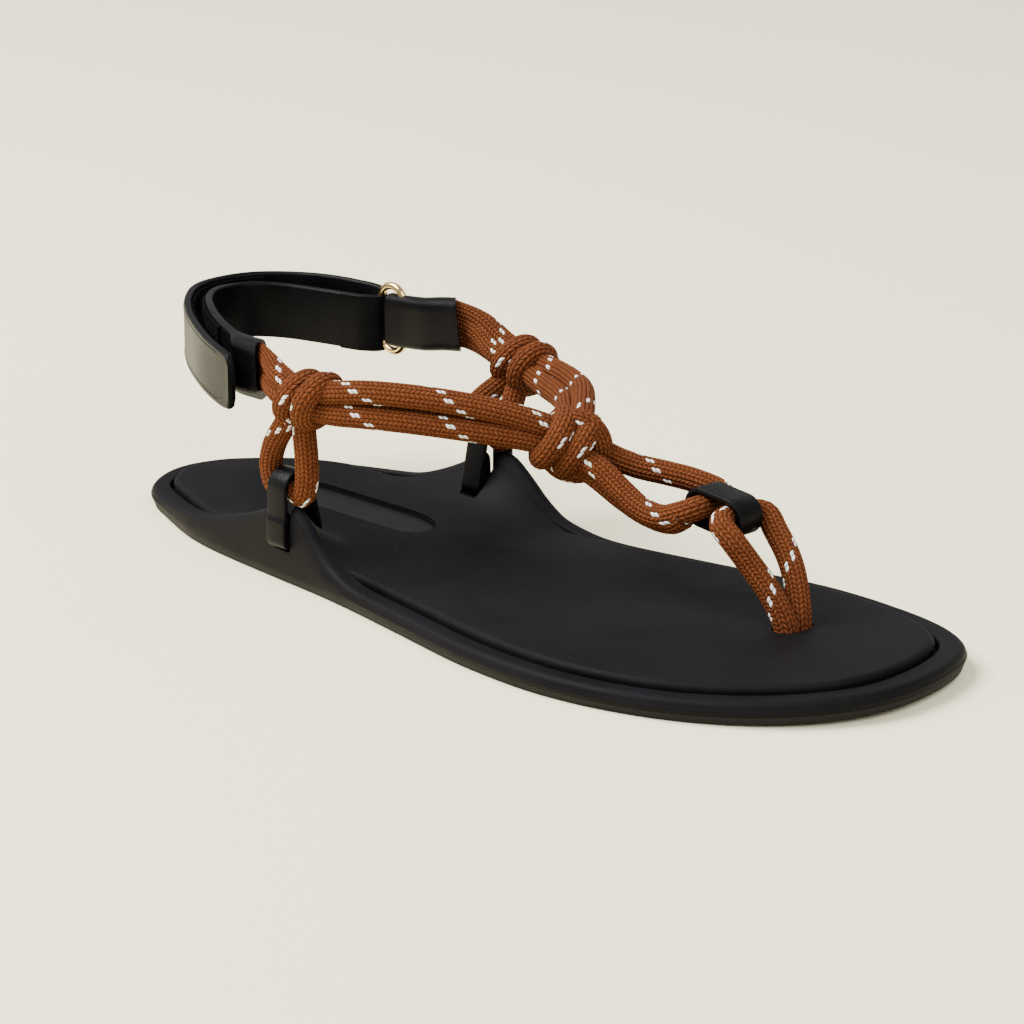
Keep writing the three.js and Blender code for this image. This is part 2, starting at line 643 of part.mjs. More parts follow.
// Front loop, from the front knot through the keeper and back, and its second lower strand
const KEEPER_REAR = footPoint(0.717, 0.11, 0.632);
const KEEPER_FRONT = footPoint(0.751, 0.113, 0.614);
const TURN_HALF_SPAN = KEEPER_WIDTH / 2 + CLEARANCE + ropeRadius;
const frontLoop = () => strand([
  offsetBy(FRONT_KNOT, 0, 3, 1.5),
  footPoint(0.6, 0.066, 0.775),
  footPoint(0.624, 0.1, 0.73),
  footPoint(0.65, 0.14, 0.705),
  footPoint(0.676, 0.168, 0.685),
  offsetBy(KEEPER_REAR, -3.4, TURN_HALF_SPAN, 1),
  offsetBy(KEEPER_REAR, 0, TURN_HALF_SPAN * 0.66, 0),
  KEEPER_REAR,
  offsetBy(KEEPER_REAR, 0, -TURN_HALF_SPAN * 0.66, 0),
  offsetBy(KEEPER_REAR, -3, -TURN_HALF_SPAN, -1.4),
  footPoint(0.688, 0.022, 0.575),
  footPoint(0.664, 0.016, 0.59),
  footPoint(0.64, 0.01, 0.655),
  footPoint(0.612, 0.0, 0.745),
  offsetBy(FRONT_KNOT, 2, -2, -2),
], 25);
const lowerStrand = () => strand([
  offsetBy(FRONT_KNOT, 0, -1, -3.5),
  footPoint(0.605, 0.012, 0.69),
  footPoint(0.631, 0.03, 0.61),
  footPoint(0.656, 0.042, 0.555),
  footPoint(0.68, 0.044, 0.54),
  footPoint(0.7, 0.034, 0.56),
  offsetBy(KEEPER_REAR, -1.5, -TURN_HALF_SPAN, -1.8),
], 12);

const ropeUpper = () => toGeometry(join([
  ...bundle(LATERAL_BUNDLE, -1),
  ...bundle(MEDIAL_BUNDLE, 1),
  ...knotWraps(),
  wingLoop('lateral'),
  wingLoop('medial'),
  frontLoop(),
  lowerStrand(),
]));

// Toe loop: through the front of the keeper, both legs down into the post hole
const TOE_STEPS = 14;
const POST_FLOOR = OUTSOLE_THICKNESS + 2 * CLEARANCE;
const postLeg = (end, z) => new THREE.Vector3(POST.x, POST.y + end * POST_HALF_GAP, z);
const toeLoop = () => toGeometry(join([
  strand([
    postLeg(-1, POST_FLOOR),
    postLeg(-1, FOOTBED_HEIGHT + 1),
    footPoint(0.81, 0.07, 0.31),
    footPoint(0.788, 0.056, 0.44),
    footPoint(0.772, 0.036, 0.55),
    offsetBy(KEEPER_FRONT, 2, -TURN_HALF_SPAN, -0.9),
    offsetBy(KEEPER_FRONT, 0, -TURN_HALF_SPAN * 0.66, 0),
    KEEPER_FRONT,
  ], TOE_STEPS),
  strand([
    KEEPER_FRONT,
    offsetBy(KEEPER_FRONT, 0, TURN_HALF_SPAN * 0.66, 0),
    offsetBy(KEEPER_FRONT, 2.4, TURN_HALF_SPAN, -0.4),
    footPoint(0.775, 0.183, 0.54),
    footPoint(0.798, 0.17, 0.425),
    footPoint(0.814, 0.15, 0.31),
    postLeg(1, FOOTBED_HEIGHT + 1),
    postLeg(1, POST_FLOOR),
  ], TOE_STEPS),
]));

// Keeper: a band round both turns, in the plane of the strap
function keeper() {
  const radius = ropeRadius + ROPE_PLAY;
  const circles = [KEEPER_REAR, KEEPER_FRONT].map((p) => ({ x: p.x, y: p.z, radius }));
  const middle = (KEEPER_REAR.y + KEEPER_FRONT.y) / 2;
  return belt(circles, TAB_THICKNESS, KEEPER_WIDTH).rotateX(Math.PI / 2).translate(0, middle, 0);
}

const tabBand = (side) => ontoWing(belt(tabCircles(tabs[side]), TAB_THICKNESS, TAB_WIDTH), tabs[side]);

// Ring: a flat-sided oval of wire, standing in the strap's plane
const RING_CENTRE = footPoint(0.186, 0.338, 0.97);
const RING_STEPS = 20;
const RING_SIDES = 8;
const RING_SQUARENESS = 0.85;
function ringPath() {
  const [l, h] = [(RING_LENGTH - RING_WIRE) / 2, (RING_HEIGHT - RING_WIRE) / 2];
  const squared = (v) => Math.sign(v) * Math.abs(v) ** RING_SQUARENESS;
  const points = [];
  for (let i = 0; i < RING_STEPS; i += 1) {
    const angle = ((i + 0.5) / RING_STEPS) * 2 * Math.PI;
    points.push(offsetBy(RING_CENTRE, l * squared(Math.cos(angle)), 0, h * squared(Math.sin(angle))));
  }
  return new THREE.CatmullRomCurve3(points, true);
}
const ringTube = (radius) => new THREE.TubeGeometry(ringPath(), RING_STEPS, radius, RING_SIDES, true);

// A strip of leather along a route: upright sections with eased corners
const STRIP_STEP = 6;
const STRIP_EASE = 0.7;
function strip(points, heightOf, thicknessOf) {
  const path = new THREE.CatmullRomCurve3(points, false, 'centripetal');
  const steps = Math.round(path.getLength() / STRIP_STEP);
  const rings = [];
  for (let i = 0; i <= steps; i += 1) {
    const u = i / steps;
    const centre = path.getPointAt(u);
    const along = path.getTangentAt(u);
    const outwards = new THREE.Vector3().crossVectors(along, UP).normalize();
    const upwards = new THREE.Vector3().crossVectors(outwards, along).normalize();
    const [h, t] = [heightOf(u) / 2, thicknessOf(u) / 2];
    const ease = t * STRIP_EASE;
    const corner = (o, v) => centre.clone().addScaledVector(outwards, o).addScaledVector(upwards, v);
    const quarter = [[-t, h - ease], [-t + ease, h], [t - ease, h], [t, h - ease]];
    rings.push([
      ...quarter.map(([o, v]) => corner(o, v)),
      ...[...quarter].reverse().map(([o, v]) => corner(o, -v)),
    ]);
  }
  return skin(rings);
}

// Heel strap: from its lateral sleeve round the heel, through the ring and back outside
const STRAP_ROUTE = [
  { along: 0.276, across: -0.325, up: 1.025 },
  { along: 0.236, across: -0.307, up: 1.01 },
  { along: 0.186, across: -0.25, up: 1.0 },
  { along: 0.12, across: -0.15, up: 0.99 },
  { along: 0.072, across: -0.055, up: 0.98 },
  { along: 0.045, across: 0.03, up: 0.965 },
  { along: 0.036, across: 0.11, up: 0.95 },
  { along: 0.042, across: 0.17, up: 0.945 },
  { along: 0.066, across: 0.225, up: 0.94 },
  { along: 0.1, across: 0.262, up: 0.935 },
  { along: 0.135, across: 0.285, up: 0.935 },
  { along: 0.158, across: 0.303, up: 0.935 },
  { along: 0.1685, across: 0.338, up: 0.935 },
  { along: 0.155, across: 0.37, up: 0.955 },
  { along: 0.12, across: 0.357, up: 0.968 },
  { along: 0.08, across: 0.326, up: 0.972 },
  { along: 0.048, across: 0.28, up: 0.97 },
  { along: 0.022, across: 0.21, up: 0.968 },
  { along: 0.012, across: 0.125, up: 0.965 },
  { along: 0.018, across: 0.025, up: 0.965 },
  { along: 0.05, across: -0.08, up: 0.965 },
  { along: 0.1, across: -0.185, up: 0.965 },
  { along: 0.17, across: -0.296, up: 0.965 },
  { along: 0.22, across: -0.36, up: 0.965 },
  { along: 0.262, across: -0.402, up: 0.965 },
];
const SLEEVE_THICKNESS = 6.4;
const SLEEVE_SHARE = 0.065;
const FLAP_SHARE = 0.975;
const FLAP_TAPER = 3.5;
const ropeClearance = (route, sign) => bundle(route, sign, ropeRadius + CLEARANCE);
function heelStrap() {
  const points = STRAP_ROUTE.map((row) => footPoint(row.along, row.across, row.up));
  const thickness = (u) => mix(SLEEVE_THICKNESS, STRAP_THICKNESS, smooth(SLEEVE_SHARE / 2, SLEEVE_SHARE, u));
  const height = (u) => STRAP_WIDTH - FLAP_TAPER * smooth(FLAP_SHARE, 1, u);
  const body = toSolid(strip(points, height, thickness));
  const ring = toSolid(ringTube(RING_WIRE / 2 + CLEARANCE));
  return toGeometry(cut(body, [ring, ...ropeClearance(LATERAL_BUNDLE, -1)]));
}

// Medial sleeve: a doubled leather loop from the ring to the rope's ends
const SLEEVE_ROUTE = [
  { along: 0.184, across: 0.338, up: 0.965 },
  { along: 0.2, across: 0.338, up: 0.968 },
  { along: 0.235, across: 0.34, up: 0.985 },
  { along: 0.265, across: 0.345, up: 1.01 },
  { along: 0.29, across: 0.35, up: 1.03 },
];
const SLEEVE_NECK = 4.6;
function ringSleeve() {
  const points = SLEEVE_ROUTE.map((row) => footPoint(row.along, row.across, row.up));
  const thickness = (u) => mix(SLEEVE_NECK, SLEEVE_THICKNESS, smooth(0.2, 0.75, u));
  const body = toSolid(strip(points, () => SLEEVE_HEIGHT, thickness));
  const ring = toSolid(ringTube(RING_WIRE / 2 + CLEARANCE));
  return toGeometry(cut(body, [ring, ...ropeClearance(MEDIAL_BUNDLE, 1)]));
}

// The assembly, with each piece's colour and finish
const LEATHER = { color: 0x1c1b1d, roughness: 0.55, metalness: 0 };
const RUBBER = { color: 0x1d1c1e, roughness: 0.7, metalness: 0 };
const BRAID = { color: 0x8a4520, roughness: 0.85, metalness: 0 };
const BRASS = { color: 0xd6b060, roughness: 0.22, metalness: 1 };
function piece(name, geometry, finish) {
  const mesh = new THREE.Mesh(geometry, new THREE.MeshStandardMaterial(finish));
  mesh.name = name;
  return mesh;
}

const sandal = new THREE.Group();
sandal.add(
  piece('outsole', outsole(), RUBBER),
  piece('midsole', midsole(), RUBBER),
  piece('footbed', footbed(), LEATHER),
  piece('badge_panel', badge(), LEATHER),
  piece('rope_upper', ropeUpper(), BRAID),
  piece('toe_loop', toeLoop(), BRAID),
  piece('keeper', keeper(), LEATHER),
  piece('tab_lateral', tabBand('lateral'), LEATHER),
  piece('tab_medial', tabBand('medial'), LEATHER),
  piece('heel_strap', heelStrap(), LEATHER),
  piece('ring_sleeve', ringSleeve(), LEATHER),
  piece('strap_ring', ringTube(RING_WIRE / 2), BRASS),
);

// The origin is on the floor, under the middle of the whole sandal's box
const box = new THREE.Box3().setFromObject(sandal);
const middle = box.getCenter(new THREE.Vector3());
sandal.position.set(-middle.x, -middle.y, -box.min.z);

const model = new THREE.Group();
model.add(sandal);
export default model;
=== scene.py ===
# Rope sandal, right foot: the finished look of each piece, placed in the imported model's frame.
import math

import bmesh
import bpy
from mathutils import Matrix, Vector


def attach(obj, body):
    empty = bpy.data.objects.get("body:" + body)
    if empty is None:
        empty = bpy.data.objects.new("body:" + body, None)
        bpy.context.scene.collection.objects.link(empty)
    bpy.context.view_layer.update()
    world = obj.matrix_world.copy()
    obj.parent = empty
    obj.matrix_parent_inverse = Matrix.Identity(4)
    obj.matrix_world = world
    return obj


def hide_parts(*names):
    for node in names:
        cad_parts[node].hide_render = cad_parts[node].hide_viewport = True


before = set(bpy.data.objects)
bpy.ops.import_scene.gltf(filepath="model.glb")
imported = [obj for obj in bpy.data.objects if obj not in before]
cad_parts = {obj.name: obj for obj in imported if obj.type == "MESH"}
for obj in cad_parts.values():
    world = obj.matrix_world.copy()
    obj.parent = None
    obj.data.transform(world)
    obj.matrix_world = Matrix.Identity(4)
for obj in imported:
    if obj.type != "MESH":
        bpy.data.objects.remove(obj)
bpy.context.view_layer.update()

# Driving sizes, in millimetres, as on the real sandal
MM = 0.001
SOLE_LENGTH = 255.0
BALL_WIDTH = 97.5
INSTEP_HEIGHT = 50.0
ROPE_DIAMETER = 6.0
ROPE_RADIUS = ROPE_DIAMETER / 2
ROPE_PLAY = 0.6
ROPE_STEP = 1.2
ROPE_SIDES = 64
RIB_COUNT = 16
RIB_DEPTH = 0.2
FLAT_SHARE = 0.5
FLAT_LENGTH = 6.0
FLAT_END = 19.0
CLEARANCE = 0.3
OUTSOLE_THICKNESS = 2.0
TOE_SPRING = 1.6
TOE_SPRING_LENGTH = 42.0
RIM_HEIGHT = 5.6
RIM_WIDTH = 5.2
RIM_TOE_GROWTH = 1.6
GROOVE_WIDTH = 0.6
FOOTBED_HEIGHT = 7.4
WING_HEIGHT = 22.5
CREST_WIDTH = 3.0
SWEEP_WIDTH = 24.0
SWEEP_POWER = 2.7
EDGE_ZONE = 10.0
TAB_WIDTH = 6.6
TAB_THICKNESS = 1.3
KEEPER_WIDTH = 8.0
STRAP_WIDTH = 15.0
STRAP_THICKNESS = 2.0
SLEEVE_HEIGHT = 14.0
SLEEVE_THICKNESS = 6.4
RING_HEIGHT = 19.5
RING_LENGTH = 12.5
RING_WIRE = 2.0
BADGE_LENGTH = 53.0
BADGE_WIDTH = 14.5
BADGE_DEPTH = 1.3

# Half widths of the sole, as shares of BALL_WIDTH, at shares of SOLE_LENGTH from the heel
OUTLINE_COLUMNS = ("along", "medial", "lateral")
OUTLINE = [
    (0.03, 0.176, 0.183),
    (0.08, 0.296, 0.255),
    (0.16, 0.355, 0.334),
    (0.28, 0.342, 0.383),
    (0.40, 0.324, 0.417),
    (0.52, 0.356, 0.472),
    (0.64, 0.415, 0.527),
    (0.75, 0.469, 0.531),
    (0.85, 0.462, 0.463),
    (0.93, 0.398, 0.339),
    (0.98, 0.26, 0.188),
]

# Rise of the edge above the rim at shares of the length, as shares of the wings' rise
CREST = {
    "lateral": [
        (0.08, 0), (0.125, 0.03), (0.17, 0.11), (0.21, 0.25), (0.245, 0.41), (0.28, 0.59),
        (0.31, 0.78), (0.335, 0.9), (0.352, 0.84), (0.366, 0.67), (0.38, 0.46), (0.4, 0.23),
        (0.42, 0.1), (0.445, 0.02), (0.47, 0),
    ],
    "medial": [
        (0.13, 0), (0.185, 0.08), (0.225, 0.18), (0.26, 0.35), (0.29, 0.54), (0.318, 0.75),
        (0.343, 0.96), (0.36, 1.02), (0.38, 0.97), (0.402, 0.74), (0.425, 0.44),
        (0.45, 0.2), (0.475, 0.08), (0.5, 0.02), (0.53, 0),
    ],
}
SIDES = {"medial": 1, "lateral": -1}


def clamp01(value):
    return min(1.0, max(0.0, value))


def mix(a, b, share):
    return a + (b - a) * share


def smooth(low, high, value):
    share = clamp01((value - low) / (high - low))
    return share * share * (3 - 2 * share)


def read_table(rows, column, along):
    """Smooth reading of one column of a table whose first column is the share of the length."""
    last = len(rows) - 1
    if along <= rows[0][0]:
        return rows[0][column]
    if along >= rows[last][0]:
        return rows[last][column]
    i = next(k for k in range(last) if along <= rows[k + 1][0])

    def slope(k):
        a, b = rows[max(k - 1, 0)], rows[min(k + 1, last)]
        return (b[column] - a[column]) / (b[0] - a[0])

    span = rows[i + 1][0] - rows[i][0]
    s = (along - rows[i][0]) / span
    rise = rows[i + 1][column] - rows[i][column]
    bend_a = slope(i) * span - rise
    bend_b = rise - slope(i + 1) * span
    return mix(rows[i][column], rows[i + 1][column], s) + s * (1 - s) * (bend_a * (1 - s) + bend_b * s)


def roundness(along):
    return math.sqrt(max(0.0, along * (1 - along)))


FULLNESS = [(a, m / roundness(a), l / roundness(a)) for a, m, l in OUTLINE]


def half_width(side, along):
    column = OUTLINE_COLUMNS.index(side)
    return BALL_WIDTH * read_table(FULLNESS, column, along) * roundness(clamp01(along))


def outline_point(side, turn):
    along = (1 - math.cos(turn)) / 2
    return Vector((along * SOLE_LENGTH, SIDES[side] * half_width(side, along)))


# The model's origin is under the middle of its box: foot places are measured from the heel
# along the outline's own axis
SAMPLES = 720
WIDEST = {
    side: max(half_width(side, k / SAMPLES) for k in range(1, SAMPLES)) for side in SIDES
}
HEEL = Vector((-SOLE_LENGTH / 2, (WIDEST["lateral"] - WIDEST["medial"]) / 2, 0))


def share_point(along, across, up):
    return Vector((along * SOLE_LENGTH, across * BALL_WIDTH, up * INSTEP_HEIGHT))


def toe_lift(x):
    reach = max(0.0, (x - (SOLE_LENGTH - TOE_SPRING_LENGTH)) / TOE_SPRING_LENGTH)
    return TOE_SPRING * reach ** 2


def crest_height(side, along):
    return RIM_HEIGHT + (WING_HEIGHT - RIM_HEIGHT) * read_table(CREST[side], 1, along)


def side_of(y):
    return "medial" if y >= 0 else "lateral"


def swept_top(x, y):
    """Top of the footbed, swept up from the waist to the wings' crests."""
    along = clamp01(x / SOLE_LENGTH)
    side = side_of(y)
    rise = max(0.0, crest_height(side, along) - FOOTBED_HEIGHT)
    inwards = half_width(side, along) - abs(y)
    share = clamp01((inwards - CREST_WIDTH) / SWEEP_WIDTH)
    return FOOTBED_HEIGHT + rise * (1 - share) ** SWEEP_POWER + toe_lift(x)


def rim_top(x, y):
    along = clamp01(x / SOLE_LENGTH)
    crest = crest_height(side_of(y), along)
    return swept_top(x, y) if crest > FOOTBED_HEIGHT else crest + toe_lift(x)


def rim_width(along):
    """The rim broadens at the toe."""
    return RIM_WIDTH + RIM_TOE_GROWTH * smooth(0.8, 1, along)


def past(extra):
    """An inset measured from the rim's inner edge."""
    return lambda side, along: rim_width(along) + extra


def groove_share(side, along):
    return 1 - smooth(FOOTBED_HEIGHT - 1, FOOTBED_HEIGHT + 3, crest_height(side, along))


# Mesh tools
def new_object(name, bm, smooth_faces=True):
    mesh = bpy.data.meshes.new(name)
    bm.to_mesh(mesh)
    bm.free()
    for polygon in mesh.polygons:
        polygon.use_smooth = smooth_faces
    piece = bpy.data.objects.new(name, mesh)
    bpy.context.scene.collection.objects.link(piece)
    return piece


def loft(rings, closed=False, caps=True, runs=None):
    """A bmesh drawn through rings of equal count: a circle is set on the first and extruded on."""
    bm = bmesh.new()
    count = len(rings[0])
    turn = bm.verts.layers.int.new("turn")
    row = bm.verts.layers.int.new("row")
    made = bmesh.ops.create_circle(bm, segments=count, radius=1)
    for i, vert in enumerate(made["verts"]):
        vert[turn] = i
        vert.co = rings[0][i]
    first = list(bm.edges)
    edges = first
    for r, ring in enumerate(rings[1:], 1):
        grown = bmesh.ops.extrude_edge_only(bm, edges=edges)["geom"]
        for vert in (g for g in grown if isinstance(g, bmesh.types.BMVert)):
            vert.co = ring[vert[turn]]
            vert[row] = r
        edges = [g for g in grown if isinstance(g, bmesh.types.BMEdge) and len(g.link_faces) < 2]
        edges = [e for e in edges if all(v[row] == r for v in e.verts)]
    if closed:
        bmesh.ops.bridge_loops(bm, edges=first + edges)
    elif caps:
        for rim in (first, edges):
            bmesh.ops.contextual_create(bm, geom=rim)
    if runs is not None:
        unwrap(bm, turn, row, count, runs, closed)
    bmesh.ops.recalc_face_normals(bm, faces=bm.faces)
    return bm


def unwrap(bm, turn, row, count, runs, closed):
    """Lays out a lofted skin: U is the way along it in millimetres, V the share of the way round."""
    layer = bm.loops.layers.uv.new("UVMap")
    for face in bm.faces:
        turns = [loop.vert[turn] for loop in face.loops]
        rows = [loop.vert[row] for loop in face.loops]
        wraps = max(turns) - min(turns) > count / 2
        returns = closed and max(rows) - min(rows) > 1
        for loop, i, r in zip(face.loops, turns, rows):
            u = runs[-1] if returns and r == 0 else runs[r]
            v = i + count if wraps and i == 0 else i
            loop[layer].uv = (u, v / count)


def spline(points, steps, closed=False):
    """Evenly spaced places on a smooth curve through the points, and the length to each."""
    knots = list(points)
    if closed:
        knots = [knots[-1]] + knots + knots[:2]
    else:
        knots = [knots[0] * 2 - knots[1]] + knots + [knots[-1] * 2 - knots[-2]]
    dense = []
    fine = 24
    for p0, p1, p2, p3 in zip(knots, knots[1:], knots[2:], knots[3:]):
        t0 = 0.0
        t1 = t0 + max(1e-6, (p1 - p0).length ** 0.5)
        t2 = t1 + max(1e-6, (p2 - p1).length ** 0.5)
        t3 = t2 + max(1e-6, (p3 - p2).length ** 0.5)
        for k in range(fine):
            t = mix(t1, t2, k / fine)
            a1 = p0 * ((t1 - t) / (t1 - t0)) + p1 * ((t - t0) / (t1 - t0))
            a2 = p1 * ((t2 - t) / (t2 - t1)) + p2 * ((t - t1) / (t2 - t1))
            a3 = p2 * ((t3 - t) / (t3 - t2)) + p3 * ((t - t2) / (t3 - t2))
            b1 = a1 * ((t2 - t) / (t2 - t0)) + a2 * ((t - t0) / (t2 - t0))
            b2 = a2 * ((t3 - t) / (t3 - t1)) + a3 * ((t - t1) / (t3 - t1))
            dense.append(b1 * ((t2 - t) / (t2 - t1)) + b2 * ((t - t1) / (t2 - t1)))
    dense.append(knots[-2].copy())
    lengths = [0.0]
    for a, b in zip(dense, dense[1:]):
        lengths.append(lengths[-1] + (b - a).length)
    total = lengths[-1]
    places, runs = [], []
    k = 0
    for i in range(steps if closed else steps + 1):
        wanted = total * i / steps
        while k < len(lengths) - 2 and lengths[k + 1] < wanted:
            k += 1
        span = max(1e-9, lengths[k + 1] - lengths[k])
        places.append(dense[k].lerp(dense[k + 1], (wanted - lengths[k]) / span))
        runs.append(wanted)
    return places, runs, total


def frames_along(places, closed=False):
    """Tangent and two side directions at each place, carried on without a twist."""
    last = len(places) - 1
    tangents = []
    for i in range(last + 1):
        before = places[i - 1] if i or closed else places[0]
        after = places[(i + 1) % (last + 1)] if i < last or closed else places[last]
        tangents.append((after - before).normalized())
    start = Vector((0, 0, 1)) if abs(tangents[0].z) < 0.9 else Vector((1, 0, 0))
    side = tangents[0].cross(start).normalized()
    frames = []
    for tangent in tangents:
        side = (side - tangent * side.dot(tangent)).normalized()
        frames.append((tangent, side, side.cross(tangent).normalized()))
    if closed:
        drift = math.atan2(
            frames[0][1].dot(frames[-1][2]), frames[0][1].dot(frames[-1][1])
        )
        count = len(frames)
        turned = []
        for i, (tangent, a, b) in enumerate(frames):
            angle = drift * i / count
            turned.append((
                tangent,
                a * math.cos(angle) + b * math.sin(angle),
                b * math.cos(angle) - a * math.sin(angle),
            ))
        frames = turned
    return frames


def rope_tube(points, radius=ROPE_RADIUS, closed=False, press=None):
    """Braided cord along a smooth curve, with the ribs of its plait raised and an unrolled UV map."""
    length = spline(points, 8, closed)[2]
    steps = max(8, round(length / ROPE_STEP))
    places, runs, total = spline(points, steps, closed)
    frames = frames_along(places, closed)
    rings = []
    for place, (_, a, b) in zip(places, frames):
        ring = []
        for k in range(ROPE_SIDES):
            angle = 2 * math.pi * k / ROPE_SIDES
            rib = abs(math.cos(angle * RIB_COUNT / 2))
            reach = radius - RIB_DEPTH * (1 - rib) ** 1.5
            point = place + (a * math.cos(angle) + b * math.sin(angle)) * reach
            ring.append(press(point) if press else point)
        rings.append(ring)
    if closed:
        return loft(rings, closed=True, runs=runs + [total])
    return loft(rings, runs=runs)


def finished(name, bm, material, slot, nodes, crease=40):
    """Sets a piece drawn from the heel in millimetres into the frame, and rides it."""
    bmesh.ops.translate(bm, vec=HEEL, verts=bm.verts)
    bmesh.ops.scale(bm, vec=(MM, MM, MM), verts=bm.verts)
    piece = new_object(name, bm)
    piece.data.set_sharp_from_angle(angle=math.radians(crease))
    piece.data.materials.append(material)
    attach(piece, "root")
    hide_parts(*nodes)
    return piece


def joined(parts):
    """One bmesh from several."""
    whole = parts[0]
    for part in parts[1:]:
        carrier = bpy.data.meshes.new("carrier")
        part.to_mesh(carrier)
        part.free()
        whole.from_mesh(carrier)
        bpy.data.meshes.remove(carrier)
    return whole


# Shader tools
def add_node(tree, kind, **settings):
    made = tree.nodes.new(kind)
    for key, value in settings.items():
        setattr(made, key, value)
    return made


def feed(tree, socket, value):
    if isinstance(value, bpy.types.NodeSocket):
        tree.links.new(value, socket)
    else:
        socket.default_value = value


def calc(tree, operation, *values, clamp=False):
    made = add_node(tree, "ShaderNodeMath", operation=operation, use_clamp=clamp)
    for socket, value in zip(made.inputs, values):
        feed(tree, socket, value)
    return made.outputs[0]


def blend_colour(tree, share, first, second):
    made = add_node(tree, "ShaderNodeMix", data_type="RGBA")
    feed(tree, made.inputs[0], share)
    feed(tree, made.inputs[6], first)
    feed(tree, made.inputs[7], second)
    return made.outputs[2]


def ramp(tree, value, low, high, out_low=0.0, out_high=1.0):
    made = add_node(tree, "ShaderNodeMapRange", interpolation_type="SMOOTHSTEP")
    for socket, given in zip(made.inputs, (value, low, high, out_low, out_high)):
        feed(tree, socket, given)
    return made.outputs[0]


def new_group(name, inputs, outputs):
    tree = bpy.data.node_groups.new(name, "ShaderNodeTree")
    for label, kind, value in inputs:
        made = tree.interface.new_socket(label, in_out="INPUT", socket_type=kind)
        made.default_value = value
    for label, kind in outputs:
        tree.interface.new_socket(label, in_out="OUTPUT", socket_type=kind)
    return tree, add_node(tree, "NodeGroupInput"), add_node(tree, "NodeGroupOutput")


FLOAT = "NodeSocketFloat"
COLOUR = "NodeSocketColor"
BRAID_PITCH = 1.15
BRAID_SLANT = 0.7
FLECK_LEAD = 23.0
FLECK_REACH = 1.2


def braid_group():
    """Plaited yarn on a cord's own UV map: a column of slanting stitches to each rib, with pale flecks."""
    tree, given, out = new_group(
        "braid",
        [("Yarn", COLOUR, (0.138, 0.041, 0.0135, 1)), ("Shadow", COLOUR, (0.042, 0.0105, 0.0032, 1)),
         ("Fleck", COLOUR, (0.82, 0.8, 0.76, 1))],
        [("Colour", COLOUR), ("Height", FLOAT), ("Roughness", FLOAT)],
    )
    maths = lambda *terms: calc(tree, *terms)
    chart = add_node(tree, "ShaderNodeUVMap", uv_map="UVMap")
    split = add_node(tree, "ShaderNodeSeparateXYZ")
    feed(tree, split.inputs[0], chart.outputs[0])
    columns = maths("MULTIPLY", split.outputs[1], float(RIB_COUNT))
    columns = maths("ADD", columns, 0.5)
    column = maths("FLOOR", columns)
    across = maths("SUBTRACT", maths("FRACT", columns), 0.5)
    odd = maths("FLOORED_MODULO", column, 2.0)
    hand = maths("SUBTRACT", maths("MULTIPLY", odd, 2.0), 1.0)
    slant = maths("MULTIPLY", maths("MULTIPLY", across, hand), BRAID_SLANT)
    phase = maths("ADD", maths("DIVIDE", split.outputs[0], BRAID_PITCH), slant)
    stitch = maths("FLOOR", phase)
    lengthwise = maths("MULTIPLY", maths("SUBTRACT", maths("FRACT", phase), 0.5), 2.0)
    crosswise = maths("MULTIPLY", across, 2.0)
    bulge_long = maths("SUBTRACT", 1.0, maths("POWER", maths("ABSOLUTE", lengthwise), 2.4))
    bulge_wide = maths("SUBTRACT", 1.0, maths("POWER", maths("ABSOLUTE", crosswise), 3.0))
    height = maths("MULTIPLY", bulge_long, bulge_wide)

    target = maths("MULTIPLY", maths("ADD", column, 0.5), -FLECK_LEAD / RIB_COUNT)
    middle = maths("MULTIPLY", maths("ADD", stitch, 0.5), BRAID_PITCH)
    gap = maths("DIVIDE", maths("SUBTRACT", middle, target), FLECK_LEAD)
    gap = maths("SUBTRACT", gap, maths("ROUND", gap))
    near = maths("LESS_THAN", maths("ABSOLUTE", gap), FLECK_REACH / FLECK_LEAD)
    near = maths("MULTIPLY", near, odd)
    fleck = maths("MULTIPLY", near, ramp(tree, height, 0.12, 0.4))

    lot = add_node(tree, "ShaderNodeCombineXYZ")
    feed(tree, lot.inputs[0], stitch)
    feed(tree, lot.inputs[1], column)
    yarn_lot = add_node(tree, "ShaderNodeTexWhiteNoise", noise_dimensions="2D")
    feed(tree, yarn_lot.inputs[0], lot.outputs[0])
    tone = ramp(tree, height, 0.0, 0.55)
    tone = maths("MULTIPLY", tone, ramp(tree, yarn_lot.outputs[0], 0.0, 1.0, 0.72, 1.0))
    body = blend_colour(tree, tone, given.outputs["Shadow"], given.outputs["Yarn"])
    feed(tree, out.inputs["Colour"], blend_colour(tree, fleck, body, given.outputs["Fleck"]))
    feed(tree, out.inputs["Height"], height)
    feed(tree, out.inputs["Roughness"], ramp(tree, fleck, 0.0, 1.0, 0.78, 0.55))
    return tree


